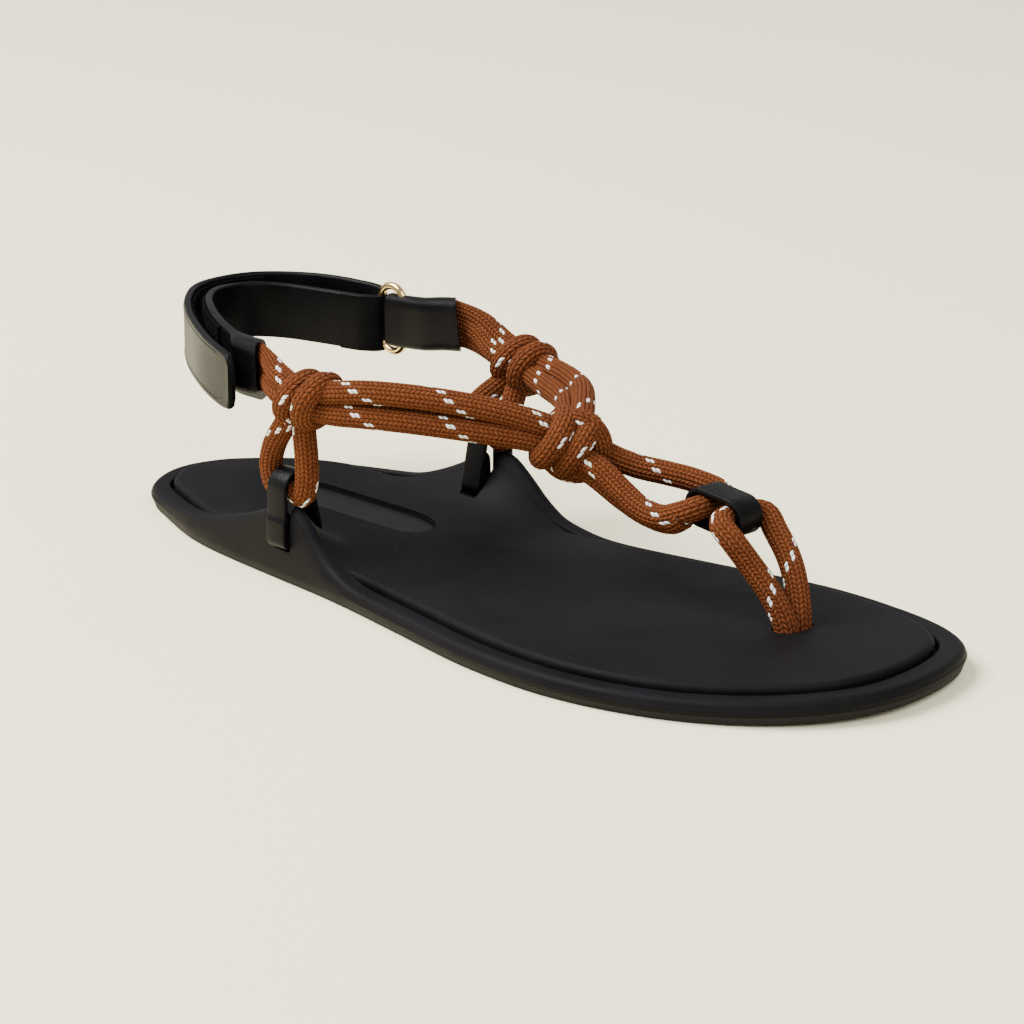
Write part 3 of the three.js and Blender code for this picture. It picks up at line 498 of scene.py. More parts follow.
def grain_group():
    """Leather grain: small uneven cells with fine pores, and a slow change of tone."""
    tree, given, out = new_group(
        "leather_grain",
        [("Cell", FLOAT, 900.0), ("Wander", FLOAT, 60.0)],
        [("Height", FLOAT), ("Tone", FLOAT)],
    )
    coords = add_node(tree, "ShaderNodeTexCoord")
    cells = add_node(tree, "ShaderNodeTexVoronoi", feature="DISTANCE_TO_EDGE")
    feed(tree, cells.inputs["Vector"], coords.outputs["Object"])
    feed(tree, cells.inputs["Scale"], given.outputs["Cell"])
    pores = add_node(tree, "ShaderNodeTexNoise")
    feed(tree, pores.inputs["Vector"], coords.outputs["Object"])
    feed(tree, pores.inputs["Scale"], calc(tree, "MULTIPLY", given.outputs["Cell"], 2.2))
    feed(tree, pores.inputs["Detail"], 3.0)
    slow = add_node(tree, "ShaderNodeTexNoise")
    feed(tree, slow.inputs["Vector"], coords.outputs["Object"])
    feed(tree, slow.inputs["Scale"], given.outputs["Wander"])
    feed(tree, slow.inputs["Detail"], 4.0)
    raised = ramp(tree, cells.outputs["Distance"], 0.0, 0.22)
    height = calc(tree, "ADD", raised, calc(tree, "MULTIPLY", pores.outputs[0], 0.5))
    feed(tree, out.inputs["Height"], height)
    feed(tree, out.inputs["Tone"], slow.outputs[0])
    return tree


GROUPS = {"braid": braid_group(), "grain": grain_group()}


def new_material(name):
    material = bpy.data.materials.new(name)
    material.use_nodes = True
    tree = material.node_tree
    return material, tree, tree.nodes["Principled BSDF"]


def use_group(tree, key, **values):
    made = add_node(tree, "ShaderNodeGroup")
    made.node_tree = GROUPS[key]
    for label, value in values.items():
        feed(tree, made.inputs[label], value)
    return made


def relief(tree, shader, height, distance, strength=1.0):
    bump = add_node(tree, "ShaderNodeBump")
    bump.inputs["Strength"].default_value = strength
    bump.inputs["Distance"].default_value = distance
    feed(tree, bump.inputs["Height"], height)
    feed(tree, shader.inputs["Normal"], bump.outputs[0])


def leather(name, dark, light, low_gloss, high_gloss, cell=900.0, wander=60.0, depth=0.00006,
            coat=0.0, level=0.5):
    material, tree, shader = new_material(name)
    grain = use_group(tree, "grain", Cell=cell, Wander=wander)
    tone = ramp(tree, grain.outputs["Tone"], 0.3, 0.7)
    feed(tree, shader.inputs["Base Color"], blend_colour(tree, tone, dark, light))
    rough = ramp(tree, grain.outputs["Tone"], 0.25, 0.75, low_gloss, high_gloss)
    feed(tree, shader.inputs["Roughness"], rough)
    shader.inputs["Specular IOR Level"].default_value = level
    shader.inputs["Coat Weight"].default_value = coat
    shader.inputs["Coat Roughness"].default_value = 0.3
    relief(tree, shader, grain.outputs["Height"], depth)
    return material


def braided_rope():
    material, tree, shader = new_material("braided_rope")
    braid = use_group(tree, "braid")
    feed(tree, shader.inputs["Base Color"], braid.outputs["Colour"])
    feed(tree, shader.inputs["Roughness"], braid.outputs["Roughness"])
    shader.inputs["Specular IOR Level"].default_value = 0.06
    relief(tree, shader, braid.outputs["Height"], 0.00035)
    return material


def polished_brass():
    material, tree, shader = new_material("polished_brass")
    grain = use_group(tree, "grain", Cell=300.0, Wander=200.0)
    shader.inputs["Base Color"].default_value = (0.78, 0.56, 0.25, 1)
    shader.inputs["Metallic"].default_value = 1.0
    feed(tree, shader.inputs["Roughness"], ramp(tree, grain.outputs["Tone"], 0.3, 0.7, 0.12, 0.24))
    return material


MATERIALS = {
    "footbed": leather("footbed_leather", (0.0032, 0.0028, 0.0036, 1), (0.0056, 0.005, 0.0062, 1),
                       0.55, 0.68, cell=1500.0, depth=0.00003, level=0.06),
    "wall": leather("sole_wall", (0.003, 0.0027, 0.0036, 1), (0.005, 0.0045, 0.006, 1), 0.52, 0.64,
                    cell=2200.0, depth=0.00002, level=0.06),
    "tread": leather("sole_rubber", (0.006, 0.006, 0.006, 1), (0.009, 0.009, 0.0095, 1), 0.62, 0.78,
                     cell=1200.0, depth=0.00004, level=0.15),
    "strap": leather("strap_leather", (0.0016, 0.0014, 0.0019, 1), (0.0028, 0.0025, 0.0034, 1), 0.32, 0.44,
                     cell=1300.0, depth=0.00003, level=0.07),
    "badge": leather("badge_leather", (0.0018, 0.0017, 0.002, 1), (0.003, 0.0028, 0.0033, 1), 0.34, 0.46,
                     cell=1500.0, depth=0.00003, level=0.12),
    "fastener": leather("hook_and_loop", (0.0012, 0.0012, 0.0013, 1), (0.003, 0.003, 0.0032, 1), 0.85, 0.98,
                        cell=700.0, wander=400.0, depth=0.0004, level=0.04),
    "rope": braided_rope(),
    "brass": polished_brass(),
}


# Sole
STATIONS = 150


def even_turns():
    """Turns from heel to toe at even steps along the edge."""
    lengths = [0.0]
    for i in range(1, SAMPLES + 1):
        before, after = (outline_point("lateral", k / SAMPLES * math.pi) for k in (i - 1, i))
        lengths.append(lengths[-1] + (after - before).length)
    turns = []
    i = 0
    for k in range(STATIONS + 1):
        wanted = k / STATIONS * lengths[-1]
        while i < SAMPLES and lengths[i] < wanted:
            i += 1
        turns.append(i / SAMPLES * math.pi)
    return turns


TURNS = even_turns()
HEEL_SPINE = 0.12
TOE_SPINE = 0.85


def sole_place(side, turn, inset, core):
    step = 0.002
    before = outline_point(side, max(0.0, turn - step))
    after = outline_point(side, min(math.pi, turn + step))
    tangent = (after - before).normalized()
    normal = Vector((-tangent.y, tangent.x)) * -SIDES[side]
    if turn <= step or turn >= math.pi - step:
        normal = Vector((1.0 if turn <= step else -1.0, 0.0))
    point = outline_point(side, turn) + normal * inset
    along = mix(HEEL_SPINE, TOE_SPINE, (1 - math.cos(turn)) / 2)
    middle = (half_width("medial", along) - half_width("lateral", along)) / 2
    return point.lerp(Vector((along * SOLE_LENGTH, middle)), core)


def sole_ring(inset, height, core=0.0):
    ring = []
    stops = [("lateral", turn) for turn in TURNS] + [("medial", turn) for turn in TURNS[-2:0:-1]]
    for side, turn in stops:
        along = (1 - math.cos(turn)) / 2
        depth = inset(side, along) if callable(inset) else inset
        flat = sole_place(side, turn, depth, core)
        ring.append(Vector((flat.x, flat.y, height(flat.x, flat.y, side))))
    return ring


def sole_body(rings):
    bm = loft([sole_ring(*ring) for ring in rings], caps=False)
    bmesh.ops.remove_doubles(bm, verts=bm.verts, dist=0.004)
    bmesh.ops.recalc_face_normals(bm, faces=bm.faces)
    return bm


def corner(count):
    """Shares of a rounded corner's run and rise, from its foot to its top."""
    return [
        (1 - math.cos(k / count * math.pi / 2), math.sin(k / count * math.pi / 2))
        for k in range(count + 1)
    ]


OUTSOLE_INSET = 1.0
OUTSOLE_ROUND = 0.6
TREAD_FLAT = 3.0
RIM_SLOPE = 0.35
RIM_ROUND = 1.9
CREST_ROUND = 3.0
RIM_LIP = 0.5
EDGE_CROWN = 0.25
FOOTBED_THICKNESS = 3.6
FOOTBED_ROLL = 1.7
FOOTBED_CROWN = 0.5
FOOTBED_GAP = CLEARANCE + GROOVE_WIDTH
CORES = (0.3, 0.7, 1.0)
CROWN_RISE = (
    (0.08, 0.25), (0.16, 0.42), (0.25, 0.6), (0.35, 0.75), (0.48, 0.87), (0.62, 0.95), (0.8, 1), (1.0, 1),
)


def across_middle(level):
    """Rings from the sole's spine out to its edge zone, at one level."""
    return [(EDGE_ZONE, level, core) for core in reversed(CORES)] + [(EDGE_ZONE, level)]


def tread_sole():
    foot = lambda x, y, side: toe_lift(x)
    head = lambda x, y, side: toe_lift(x) + OUTSOLE_THICKNESS
    rings = across_middle(foot) + [(TREAD_FLAT, foot)]
    for run, rise in corner(4):
        rings.append((
            OUTSOLE_INSET + OUTSOLE_ROUND * (1 - rise),
            lambda x, y, side, run=run: toe_lift(x) + OUTSOLE_ROUND * run,
        ))
    rings.append((RIM_SLOPE + 0.1, head))
    rings += reversed(across_middle(head))
    return sole_body(rings)


def groove_at(x, side):
    return groove_share(side, clamp01(x / SOLE_LENGTH))


def rim_round(along, side):
    """The rim's rounding, softer along the wings' crests."""
    return mix(CREST_ROUND, RIM_ROUND, groove_share(side, along))


def sole_wall():
    foot = lambda x, y, side: toe_lift(x) + OUTSOLE_THICKNESS + 0.05
    floor = lambda x, y, side: swept_top(x, y) - FOOTBED_THICKNESS - CLEARANCE
    rings = across_middle(foot) + [(RIM_SLOPE + 0.12, foot)]
    rings.append((RIM_SLOPE, lambda x, y, side: foot(x, y, side) + 0.12))
    rings.append((0.08, lambda x, y, side: foot(x, y, side) + 0.9))
    rings.append((0.0, lambda x, y, side: mix(foot(x, y, side) + 0.9, rim_top(x, y) - RIM_ROUND, 0.35)))
    rings.append((0.05, lambda x, y, side: mix(foot(x, y, side) + 0.9, rim_top(x, y) - RIM_ROUND, 0.7)))
    for run, rise in corner(6):
        rings.append((
            lambda side, along, run=run: EDGE_CROWN + rim_round(along, side) * run,
            lambda x, y, side, rise=rise: rim_top(x, y)
            - rim_round(clamp01(x / SOLE_LENGTH), side) * (1 - rise),
        ))
    rings.append((CREST_WIDTH + 0.6, lambda x, y, side: rim_top(x, y)))
    for run, rise in corner(3):
        rings.append((
            past(-RIM_LIP * (1 - rise)),
            lambda x, y, side, run=run: rim_top(x, y) - RIM_LIP * run * mix(0.06, 1, groove_at(x, side)),
        ))
    rings.append((past(0.2), floor))
    rings += reversed(across_middle(floor))
    return sole_body(rings)


def padded_footbed():
    foot = lambda x, y, side: swept_top(x, y) - FOOTBED_THICKNESS
    edge = lambda side, along: (
        rim_width(along) + FOOTBED_GAP - (GROOVE_WIDTH + 0.2) * (1 - groove_share(side, along))
    )
    rings = across_middle(foot) + [(past(FOOTBED_GAP + CLEARANCE), foot)]
    for run, rise in corner(7):
        rings.append((
            lambda side, along, run=run: edge(side, along) + FOOTBED_ROLL * run,
            lambda x, y, side, rise=rise: swept_top(x, y)
            - FOOTBED_ROLL * (1 - rise) * mix(0.03, 1, groove_at(x, side)),
        ))
    top = lambda share: lambda x, y, side: swept_top(x, y) + share * FOOTBED_CROWN
    rings += [(EDGE_ZONE, top(0.1))]
    rings += [(EDGE_ZONE, top(share), core) for core, share in CROWN_RISE]
    return sole_body(rings)


# Leather bands on circles, as a belt lies on its pulleys
def belt_outline(circles, offset):
    points = []
    for x, y, radius in circles:
        steps = 40
        for i in range(steps):
            angle = i / steps * 2 * math.pi
            reach = radius + offset
            points.append((x + reach * math.cos(angle), y + reach * math.sin(angle)))
    points.sort()

    def turn(a, b, c):
        return (b[0] - a[0]) * (c[1] - a[1]) - (b[1] - a[1]) * (c[0] - a[0])

    def half_hull(row):
        hull = []
        for p in row:
            while len(hull) > 1 and turn(hull[-2], hull[-1], p) <= 1e-6:
                hull.pop()
            hull.append(p)
        return hull

    return half_hull(points)[:-1] + half_hull(points[::-1])[:-1]


def even_loop(outline, steps):
    """Evenly spaced places and outward directions on a closed outline."""
    lengths = [0.0]
    closed = outline + outline[:1]
    for a, b in zip(closed, closed[1:]):
        lengths.append(lengths[-1] + math.dist(a, b))
    places = []
    i = 0
    for k in range(steps):
        wanted = lengths[-1] * k / steps
        while lengths[i + 1] < wanted:
            i += 1
        share = (wanted - lengths[i]) / (lengths[i + 1] - lengths[i])
        places.append(Vector([mix(a, b, share) for a, b in zip(closed[i], closed[i + 1])]))
    loop = []
    for k in range(steps):
        ahead = places[(k + 1) % steps] - places[k - 1]
        loop.append((places[k], Vector((ahead.y, -ahead.x)).normalized()))
    return loop, lengths[-1]


def band_section(width, thickness, round_edge, count=5):
    """Rounded rectangle: places across the width, and from the inner to the outer face."""
    w, t = width / 2 - round_edge, thickness / 2 - round_edge
    section = []
    for sx, sy, start in ((1, 1, 0), (-1, 1, 90), (-1, -1, 180), (1, -1, 270)):
        for k in range(count):
            angle = math.radians(start + 90 * k / (count - 1))
            section.append((sx * w + round_edge * math.cos(angle), sy * t + round_edge * math.sin(angle)))
    return section


def leather_band(circles, width, thickness, steps=110, ease=0.4, thicker=None):
    """A closed band round the circles, drawn as (outwards, height) with its width along X."""
    loop, length = even_loop(belt_outline(circles, thickness / 2), steps)
    rings, runs = [], []
    for k, (place, outwards) in enumerate(loop):
        extra = thicker(place) if thicker else 0.0
        ring = []
        for across, out in band_section(width, thickness, ease):
            reach = out + (extra if out > 0 else 0.0)
            flat = place + outwards * reach
            ring.append(Vector((across, flat.x, flat.y)))
        rings.append(ring)
        runs.append(length * k / steps)
    return loft(rings, closed=True, runs=runs + [length])


TAB_ALONG = {"lateral": 0.329, "medial": 0.349}
SLOT_OUTER = (0.0, 11.4)
SLOT_INNER = (-9.3, 13.6)
SLOT_CORNER = 0.3
SLOT_HEIGHT = 3.4
SLOT_BEVEL = 0.9
ROPE_SEAT = {"lateral": 24.4, "medial": 26.5}
TAB_LAP = 17.0
LAP_RUN = 0.5
LAP_STEP = 0.45
LAP_SIDE = -4


def tab_places(side):
    x = TAB_ALONG[side] * SOLE_LENGTH
    wall = half_width(side, TAB_ALONG[side])
    rope = (-ROPE_RADIUS - ROPE_PLAY + CLEARANCE, ROPE_SEAT[side])
    return x, wall, rope


def tab_circles(side, ease=0.0):
    rope = tab_places(side)[2]
    return [
        (*rope, ROPE_RADIUS + ROPE_PLAY - ease),
        (*SLOT_OUTER, SLOT_CORNER - ease),
        (*SLOT_INNER, SLOT_CORNER - ease),
    ]


def onto_wing(bm, side):
    """Turns a shape drawn as (along, outwards, height) into place on its wing."""
    x, wall = tab_places(side)[:2]
    sign = SIDES[side]
    basis = Matrix(((1, 0, 0, x), (0, sign, 0, sign * wall), (0, 0, 1, 0), (0, 0, 0, 1)))
    bmesh.ops.transform(bm, matrix=basis, verts=bm.verts)
    bmesh.ops.recalc_face_normals(bm, faces=bm.faces)
    return bm


def leather_tab(side):
    low, high = TAB_LAP - LAP_RUN, TAB_LAP + LAP_RUN
    lap = lambda place: LAP_STEP * (1 - smooth(low, high, place.y)) if place.x > LAP_SIDE else 0.0
    return onto_wing(leather_band(tab_circles(side), TAB_WIDTH, TAB_THICKNESS, thicker=lap), side)


def slot_cutter(side):
    run = Vector(SLOT_INNER) - Vector(SLOT_OUTER)
    slope = math.atan2(run.y, run.x)
    drop = SLOT_CORNER + TAB_THICKNESS / 2
    bm = bmesh.new()
    reach = run.length + 3 * SLOT_HEIGHT
    turn = Matrix.Translation((0, SLOT_OUTER[0] + run.x / 2, SLOT_OUTER[1] + run.y / 2 - drop))
    turn = turn @ Matrix.Rotation(slope, 4, "X")
    size = Matrix.Diagonal((TAB_WIDTH + 2 * CLEARANCE, reach, SLOT_HEIGHT, 1))
    bmesh.ops.create_cube(bm, size=1, matrix=turn @ size)
    sides = [e for e in bm.edges if abs(e.verts[0].co.y - e.verts[1].co.y) > reach / 2]
    bmesh.ops.bevel(bm, geom=sides, offset=SLOT_BEVEL, segments=4, profile=0.5, affect="EDGES", material=-1)
    return onto_wing(bm, side)


def band_cutter(side):
    loop = even_loop(belt_outline(tab_circles(side), TAB_THICKNESS + CLEARANCE), 60)[0]
    half = TAB_WIDTH / 2 + CLEARANCE
    rings = [[Vector((end * half, p.x, p.y)) for p, _ in loop] for end in (-1, 1)]
    return onto_wing(loft(rings), side)


POST = share_point(0.827, 0.1, 0)
POST_SQUEEZE = 0.6
POST_HALF_GAP = ROPE_RADIUS - POST_SQUEEZE


def post_cutter():
    outline = belt_outline([(0, end * POST_HALF_GAP, ROPE_RADIUS + 0.15) for end in (-1, 1)], 0)
    loop = even_loop(outline, 48)[0]
    rings = []
    for height, spread in ((2.4, 0.0), (6.9, 0.0), (7.6, 0.1), (8.1, 0.45), (8.6, 1.2), (12.0, 5.0)):
        rings.append([
            Vector((POST.x + p.x + out.x * spread, POST.y + p.y + out.y * spread, height)) for p, out in loop
        ])
    return loft(rings)


BADGE_CENTRE = share_point(0.27, 0.022, 0)
BADGE_FLOOR = FOOTBED_HEIGHT - BADGE_DEPTH


def badge_outline(inset, count=8):
    """A long leaf with cut ends, drawn counter-clockwise by its quarter bends."""
    l, w = BADGE_LENGTH / 2 - inset, BADGE_WIDTH / 2 - inset
    bends = [
        ((l, -w * 0.3), (l, w * 0.9), (l - 2.2 * w, w)),
        ((-l + w, w), (-l, w), (-l, w * 0.55)),
        ((-l, w * 0.55), (-l, -w * 0.8), (-l + 2.2 * w, -w)),
        ((l - w, -w), (l, -w), (l, -w * 0.3)),
    ]
    outline = []
    for a, b, c in bends:
        for k in range(count):
            t = k / (count - 1)
            x, y = (mix(mix(p, q, t), mix(q, r, t), t) for p, q, r in zip(a, b, c))
            if not outline or math.dist(outline[-1], (x, y)) > 0.05:
                outline.append((x, y))
    return outline[:-1]


def badge_rings(levels):
    """Rings of the badge's outline, each set outwards by its own step from the first."""
    loop = even_loop(badge_outline(0), 120)[0]
    return [
        [Vector((BADGE_CENTRE.x + p.x - out.x * inset, BADGE_CENTRE.y + p.y - out.y * inset, height))
         for p, out in loop]
        for inset, height in levels
    ]


def badge_cutter():
    return loft(badge_rings([
        (0.35, BADGE_FLOOR), (0.0, BADGE_FLOOR + 0.5), (-0.1, 8.0), (-0.5, 8.5), (-1.6, 9.2), (-4.0, 12.0),
    ]))


def badge_panel():
    low = BADGE_FLOOR + CLEARANCE * 0.5
    return loft(badge_rings([(0.8, low), (0.5, low), (0.45, low + 0.4), (0.6, low + 0.62), (0.9, low + 0.7),
                             (1.6, low + 0.74), (2.4, low + 0.74)]))


def carved(bm, cutters):
    """The piece with the cutters taken out of it."""
    def loose(name, body):
        mesh = bpy.data.meshes.new(name)
        body.to_mesh(mesh)
        body.free()
        made = bpy.data.objects.new(name, mesh)
        bpy.context.scene.collection.objects.link(made)
        return made

    blank = loose("blank", bm)
    tools = [loose("cutter", cutter) for cutter in cutters]
    for tool in tools:
        cutting = blank.modifiers.new("cut", "BOOLEAN")
        cutting.operation = "DIFFERENCE"
        cutting.solver = "EXACT"
        cutting.object = tool
    graph = bpy.context.evaluated_depsgraph_get()
    result = bmesh.new()
    result.from_mesh(blank.evaluated_get(graph).to_mesh())
    for made in [blank] + tools:
        bpy.data.objects.remove(made)
    return result


# Rope
LATERAL_BUNDLE = [
    (0.257, -0.311, 1.04, 1.15, 0), (0.293, -0.345, 1.035, 1.0, 0.4), (0.322, -0.366, 1.01, 0.75, 1),
    (0.353, -0.369, 0.975, 0.6, 1), (0.388, -0.359, 0.982, 0.9, 1), (0.424, -0.323, 0.997, 1.08, 1),
    (0.459, -0.267, 0.992, 1.12, 1), (0.494, -0.195, 0.968, 1.1, 1), (0.525, -0.128, 0.937, 1.0, 1),
    (0.553, -0.056, 0.888, 0.8, 1), (0.576, 0.01, 0.82, 0.7, 1),
]
MEDIAL_BUNDLE = [
    (0.262, 0.345, 1.034, 1.15, 0), (0.302, 0.364, 1.0, 1.0, 0.4), (0.333, 0.371, 0.93, 0.75, 1),
    (0.369, 0.369, 0.88, 0.6, 1), (0.404, 0.349, 0.862, 0.9, 1), (0.439, 0.313, 0.858, 1.1, 1),
    (0.475, 0.262, 0.87, 1.12, 1), (0.51, 0.195, 0.888, 1.1, 1), (0.541, 0.118, 0.885, 1.0, 1),
    (0.565, 0.051, 0.865, 0.8, 1), (0.576, 0.01, 0.82, 0.7, 1),
]
STRANDS = [(0.35, 0.94), (0.35, -0.94), (-0.85, 0)]
UP = Vector((0, 0, 1))


def bundle(route, sign):
    centres = [share_point(*row[:3]) for row in route]
    last = len(route) - 1
    ahead = (centres[1] - centres[0]).normalized()
    across = ahead.cross(UP).normalized()

    def pressed(point, start):
        """Presses the start of a strand flat, as its leather sleeve does."""
        press = (1 - FLAT_SHARE) * (1 - smooth(FLAT_LENGTH, FLAT_END, (point - start).dot(ahead)))
        return point - across * (press * (point - start).dot(across))

    parts = []
    for out, up in STRANDS:
        points = []
        for i, (centre, row) in enumerate(zip(centres, route)):
            onwards = (centres[min(i + 1, last)] - centres[max(i - 1, 0)]).normalized()
            outwards = onwards.cross(UP).normalized() * -sign
            upwards = (outwards.cross(onwards) * sign).normalized()
            reach = row[3] * ROPE_RADIUS
            points.append(centre + outwards * (out * row[4] * reach) + upwards * (up * reach))
        parts.append(rope_tube(points, press=lambda point: pressed(point, centres[0])))
    return joined(parts)


def wrap(centre, facing, lean, radius):
    side = facing.cross(UP).normalized()
    top = side.cross(facing).normalized()
    leaning = top * math.cos(lean) + facing * math.sin(lean)
    points = []
    for i in range(16):
        angle = i / 16 * 2 * math.pi
        points.append(centre + side * (radius * math.cos(angle))
                      + leaning * (radius * math.sin(angle) / math.cos(lean)))
    return rope_tube(points, closed=True)


REAR_KNOT = {"lateral": share_point(0.349, -0.369, 0.972), "medial": share_point(0.369, 0.369, 0.88)}
FRONT_KNOT = share_point(0.576, 0.01, 0.82)
KNOTS = {
    "lateral": [((1, 0.02, -0.08), -0.4, 0.45, 4.7), ((1, 0.02, 0.02), 6.2, 0.45, 4.9)],
    "medial": [((1, -0.1, -0.25), -3.6, 0.3, 4.7), ((1, -0.12, -0.05), 3.2, 0.3, 4.7)],
    "front": [((0.62, 0.7, -0.35), -5.5, 0.2, 5.6), ((0.7, 0.6, -0.35), 0.8, 0.2, 5.9),
              ((0.55, -0.78, -0.3), 0.5, -0.2, 6.6)],
}


def knot(key):
    centre = REAR_KNOT.get(key, FRONT_KNOT)
    parts = []
    for facing, shift, lean, radius in KNOTS[key]:
        direction = Vector(facing).normalized()
        parts.append(wrap(centre + direction * shift, direction, lean, radius))
    return joined(parts)


LOOP_HALF_SPAN = TAB_WIDTH / 2 + CLEARANCE + ROPE_RADIUS
WING_LOOP = [
    (-0.2, 0.96), (-0.42, 0.72), (-0.98, 0.4), (-1.1, 0.17), (-0.78, -0.02), (0, 0), (0.66, -0.06),
    (0.92, 0.08), (0.86, 0.36), (0.5, 0.7), (0.25, 0.96),
]


def wing_loop(side):
    x, wall, rope = tab_places(side)
    seat = Vector((x, SIDES[side] * (wall + rope[0]), rope[1]))
    end = REAR_KNOT[side]
    points = []
    for reach, share in WING_LOOP:
        points.append(Vector((
            mix(seat.x, end.x, share ** 2) + reach * LOOP_HALF_SPAN,
            mix(seat.y, end.y, share ** 2),
            mix(seat.z, end.z, share),
        )))
    return rope_tube(points)


KEEPER_REAR = share_point(0.717, 0.11, 0.632)
KEEPER_FRONT = share_point(0.751, 0.113, 0.614)
TURN_HALF_SPAN = KEEPER_WIDTH / 2 + CLEARANCE + ROPE_RADIUS


def beside(point, x, y, z):
    return point + Vector((x, y, z))


def front_loop():
    turn = TURN_HALF_SPAN
    upper = [
        beside(FRONT_KNOT, 0, 3, 1.5), share_point(0.6, 0.066, 0.775), share_point(0.624, 0.1, 0.73),
        share_point(0.65, 0.14, 0.705), share_point(0.676, 0.168, 0.685),
        beside(KEEPER_REAR, -3.4, turn, 1), beside(KEEPER_REAR, 0, turn * 0.66, 0), KEEPER_REAR,
        beside(KEEPER_REAR, 0, -turn * 0.66, 0), beside(KEEPER_REAR, -3, -turn, -1.4),
        share_point(0.688, 0.022, 0.575), share_point(0.664, 0.016, 0.59), share_point(0.64, 0.01, 0.655),
        share_point(0.612, 0.0, 0.745), beside(FRONT_KNOT, 2, -2, -2),
    ]
    lower = [
        beside(FRONT_KNOT, 0, -1, -3.5), share_point(0.605, 0.012, 0.69), share_point(0.631, 0.03, 0.61),
        share_point(0.656, 0.042, 0.555), share_point(0.68, 0.044, 0.54), share_point(0.7, 0.034, 0.56),
        beside(KEEPER_REAR, -1.5, -turn, -1.8),
    ]
    return joined([rope_tube(upper), rope_tube(lower)])


POST_FLOOR = OUTSOLE_THICKNESS + 2 * CLEARANCE


def toe_loop():
    turn = TURN_HALF_SPAN
    leg = lambda end, z: Vector((POST.x, POST.y + end * POST_HALF_GAP, z))
    return rope_tube([
        leg(-1, POST_FLOOR), leg(-1, FOOTBED_HEIGHT + 1),
        share_point(0.81, 0.07, 0.31), share_point(0.788, 0.056, 0.44), share_point(0.772, 0.036, 0.55),
        beside(KEEPER_FRONT, 2, -turn, -0.9), beside(KEEPER_FRONT, 0, -turn * 0.66, 0), KEEPER_FRONT,
        beside(KEEPER_FRONT, 0, turn * 0.66, 0), beside(KEEPER_FRONT, 2.4, turn, -0.4),
        share_point(0.775, 0.183, 0.54), share_point(0.798, 0.17, 0.425), share_point(0.814, 0.15, 0.31),
        leg(1, FOOTBED_HEIGHT + 1), leg(1, POST_FLOOR),
    ])


def leather_keeper():
    circles = [(p.x, p.z, ROPE_RADIUS + ROPE_PLAY) for p in (KEEPER_REAR, KEEPER_FRONT)]
    bm = leather_band(circles, KEEPER_WIDTH, TAB_THICKNESS)
    middle = (KEEPER_REAR.y + KEEPER_FRONT.y) / 2
    basis = Matrix(((0, 1, 0, 0), (1, 0, 0, middle), (0, 0, 1, 0), (0, 0, 0, 1)))
    bmesh.ops.transform(bm, matrix=basis, verts=bm.verts)
    bmesh.ops.recalc_face_normals(bm, faces=bm.faces)
    return bm


# Heel strap, its ring and the ring's sleeve
STRAP_ROUTE = [
    (0.276, -0.332, 1.025), (0.236, -0.309, 1.01), (0.186, -0.25, 1.0), (0.12, -0.15, 0.99),
    (0.072, -0.055, 0.98), (0.045, 0.03, 0.965), (0.036, 0.11, 0.95), (0.042, 0.17, 0.945),
    (0.066, 0.225, 0.94), (0.1, 0.262, 0.935), (0.135, 0.285, 0.935), (0.158, 0.303, 0.935),
    (0.1685, 0.338, 0.935), (0.155, 0.37, 0.955), (0.12, 0.357, 0.968), (0.08, 0.326, 0.972),
    (0.048, 0.28, 0.97), (0.022, 0.21, 0.968), (0.012, 0.125, 0.965), (0.018, 0.025, 0.965),
    (0.05, -0.08, 0.965), (0.1, -0.185, 0.965), (0.17, -0.296, 0.965), (0.22, -0.36, 0.965),
    (0.262, -0.402, 0.965),
]
SLEEVE_ROUTE = [
    (0.184, 0.338, 0.965), (0.2, 0.338, 0.968), (0.235, 0.34, 0.985), (0.26, 0.345, 1.008),
    (0.28, 0.348, 1.022),
]
SLEEVE_SHARE = 0.065
FLAP_CUT = 1.0
FLAP_CORNER = 2.2
FLAP_CORNER_SHARE = 0.009
SLEEVE_NECK = 4.6
SLEEVE_SKEW = 0.85


def strip_section(height, thickness, ease, rows=9, corners=5):
    """Counter-clockwise rounded section: (outwards, upwards), with rows of places on each face."""
    h, t = height / 2 - ease, thickness / 2 - ease
    section = []
    for so, su, start in ((1, 1, 0), (-1, 1, 90), (-1, -1, 180), (1, -1, 270)):
        for k in range(corners):
            angle = math.radians(start + 90 * k / (corners - 1))
            section.append((so * t + ease * math.cos(angle), su * h + ease * math.sin(angle)))
        if start in (90, 270):
            for k in range(1, rows):
                section.append((so * (t + ease), su * mix(h, -h, k / rows)))
    return section


def strip_frames(route, pitch):
    points = [share_point(*row) for row in route]
    length = spline(points, 8)[2]
    places, runs, total = spline(points, round(length / pitch))
    stops = []
    last = len(places) - 1
    for i, place in enumerate(places):
        along = (places[min(i + 1, last)] - places[max(i - 1, 0)]).normalized()
        outwards = along.cross(UP).normalized()
        upwards = outwards.cross(along).normalized()
        stops.append((place, along, outwards, upwards))
    return stops, runs, total


EDGE_EASE = 0.42
STRIP_PITCH = 0.9
FACING_SUNK = 0.1
FASTENER = {"inner": (0.1, 0.47), "outer": (0.62, 0.965)}
FASTENER_HEIGHT = 12.6
FASTENER_THICKNESS = 0.7
SEAM_PATCH = (0.425, 0.475)
SEAM_HEIGHT = 14.9
SEAM_THICKNESS = 0.55


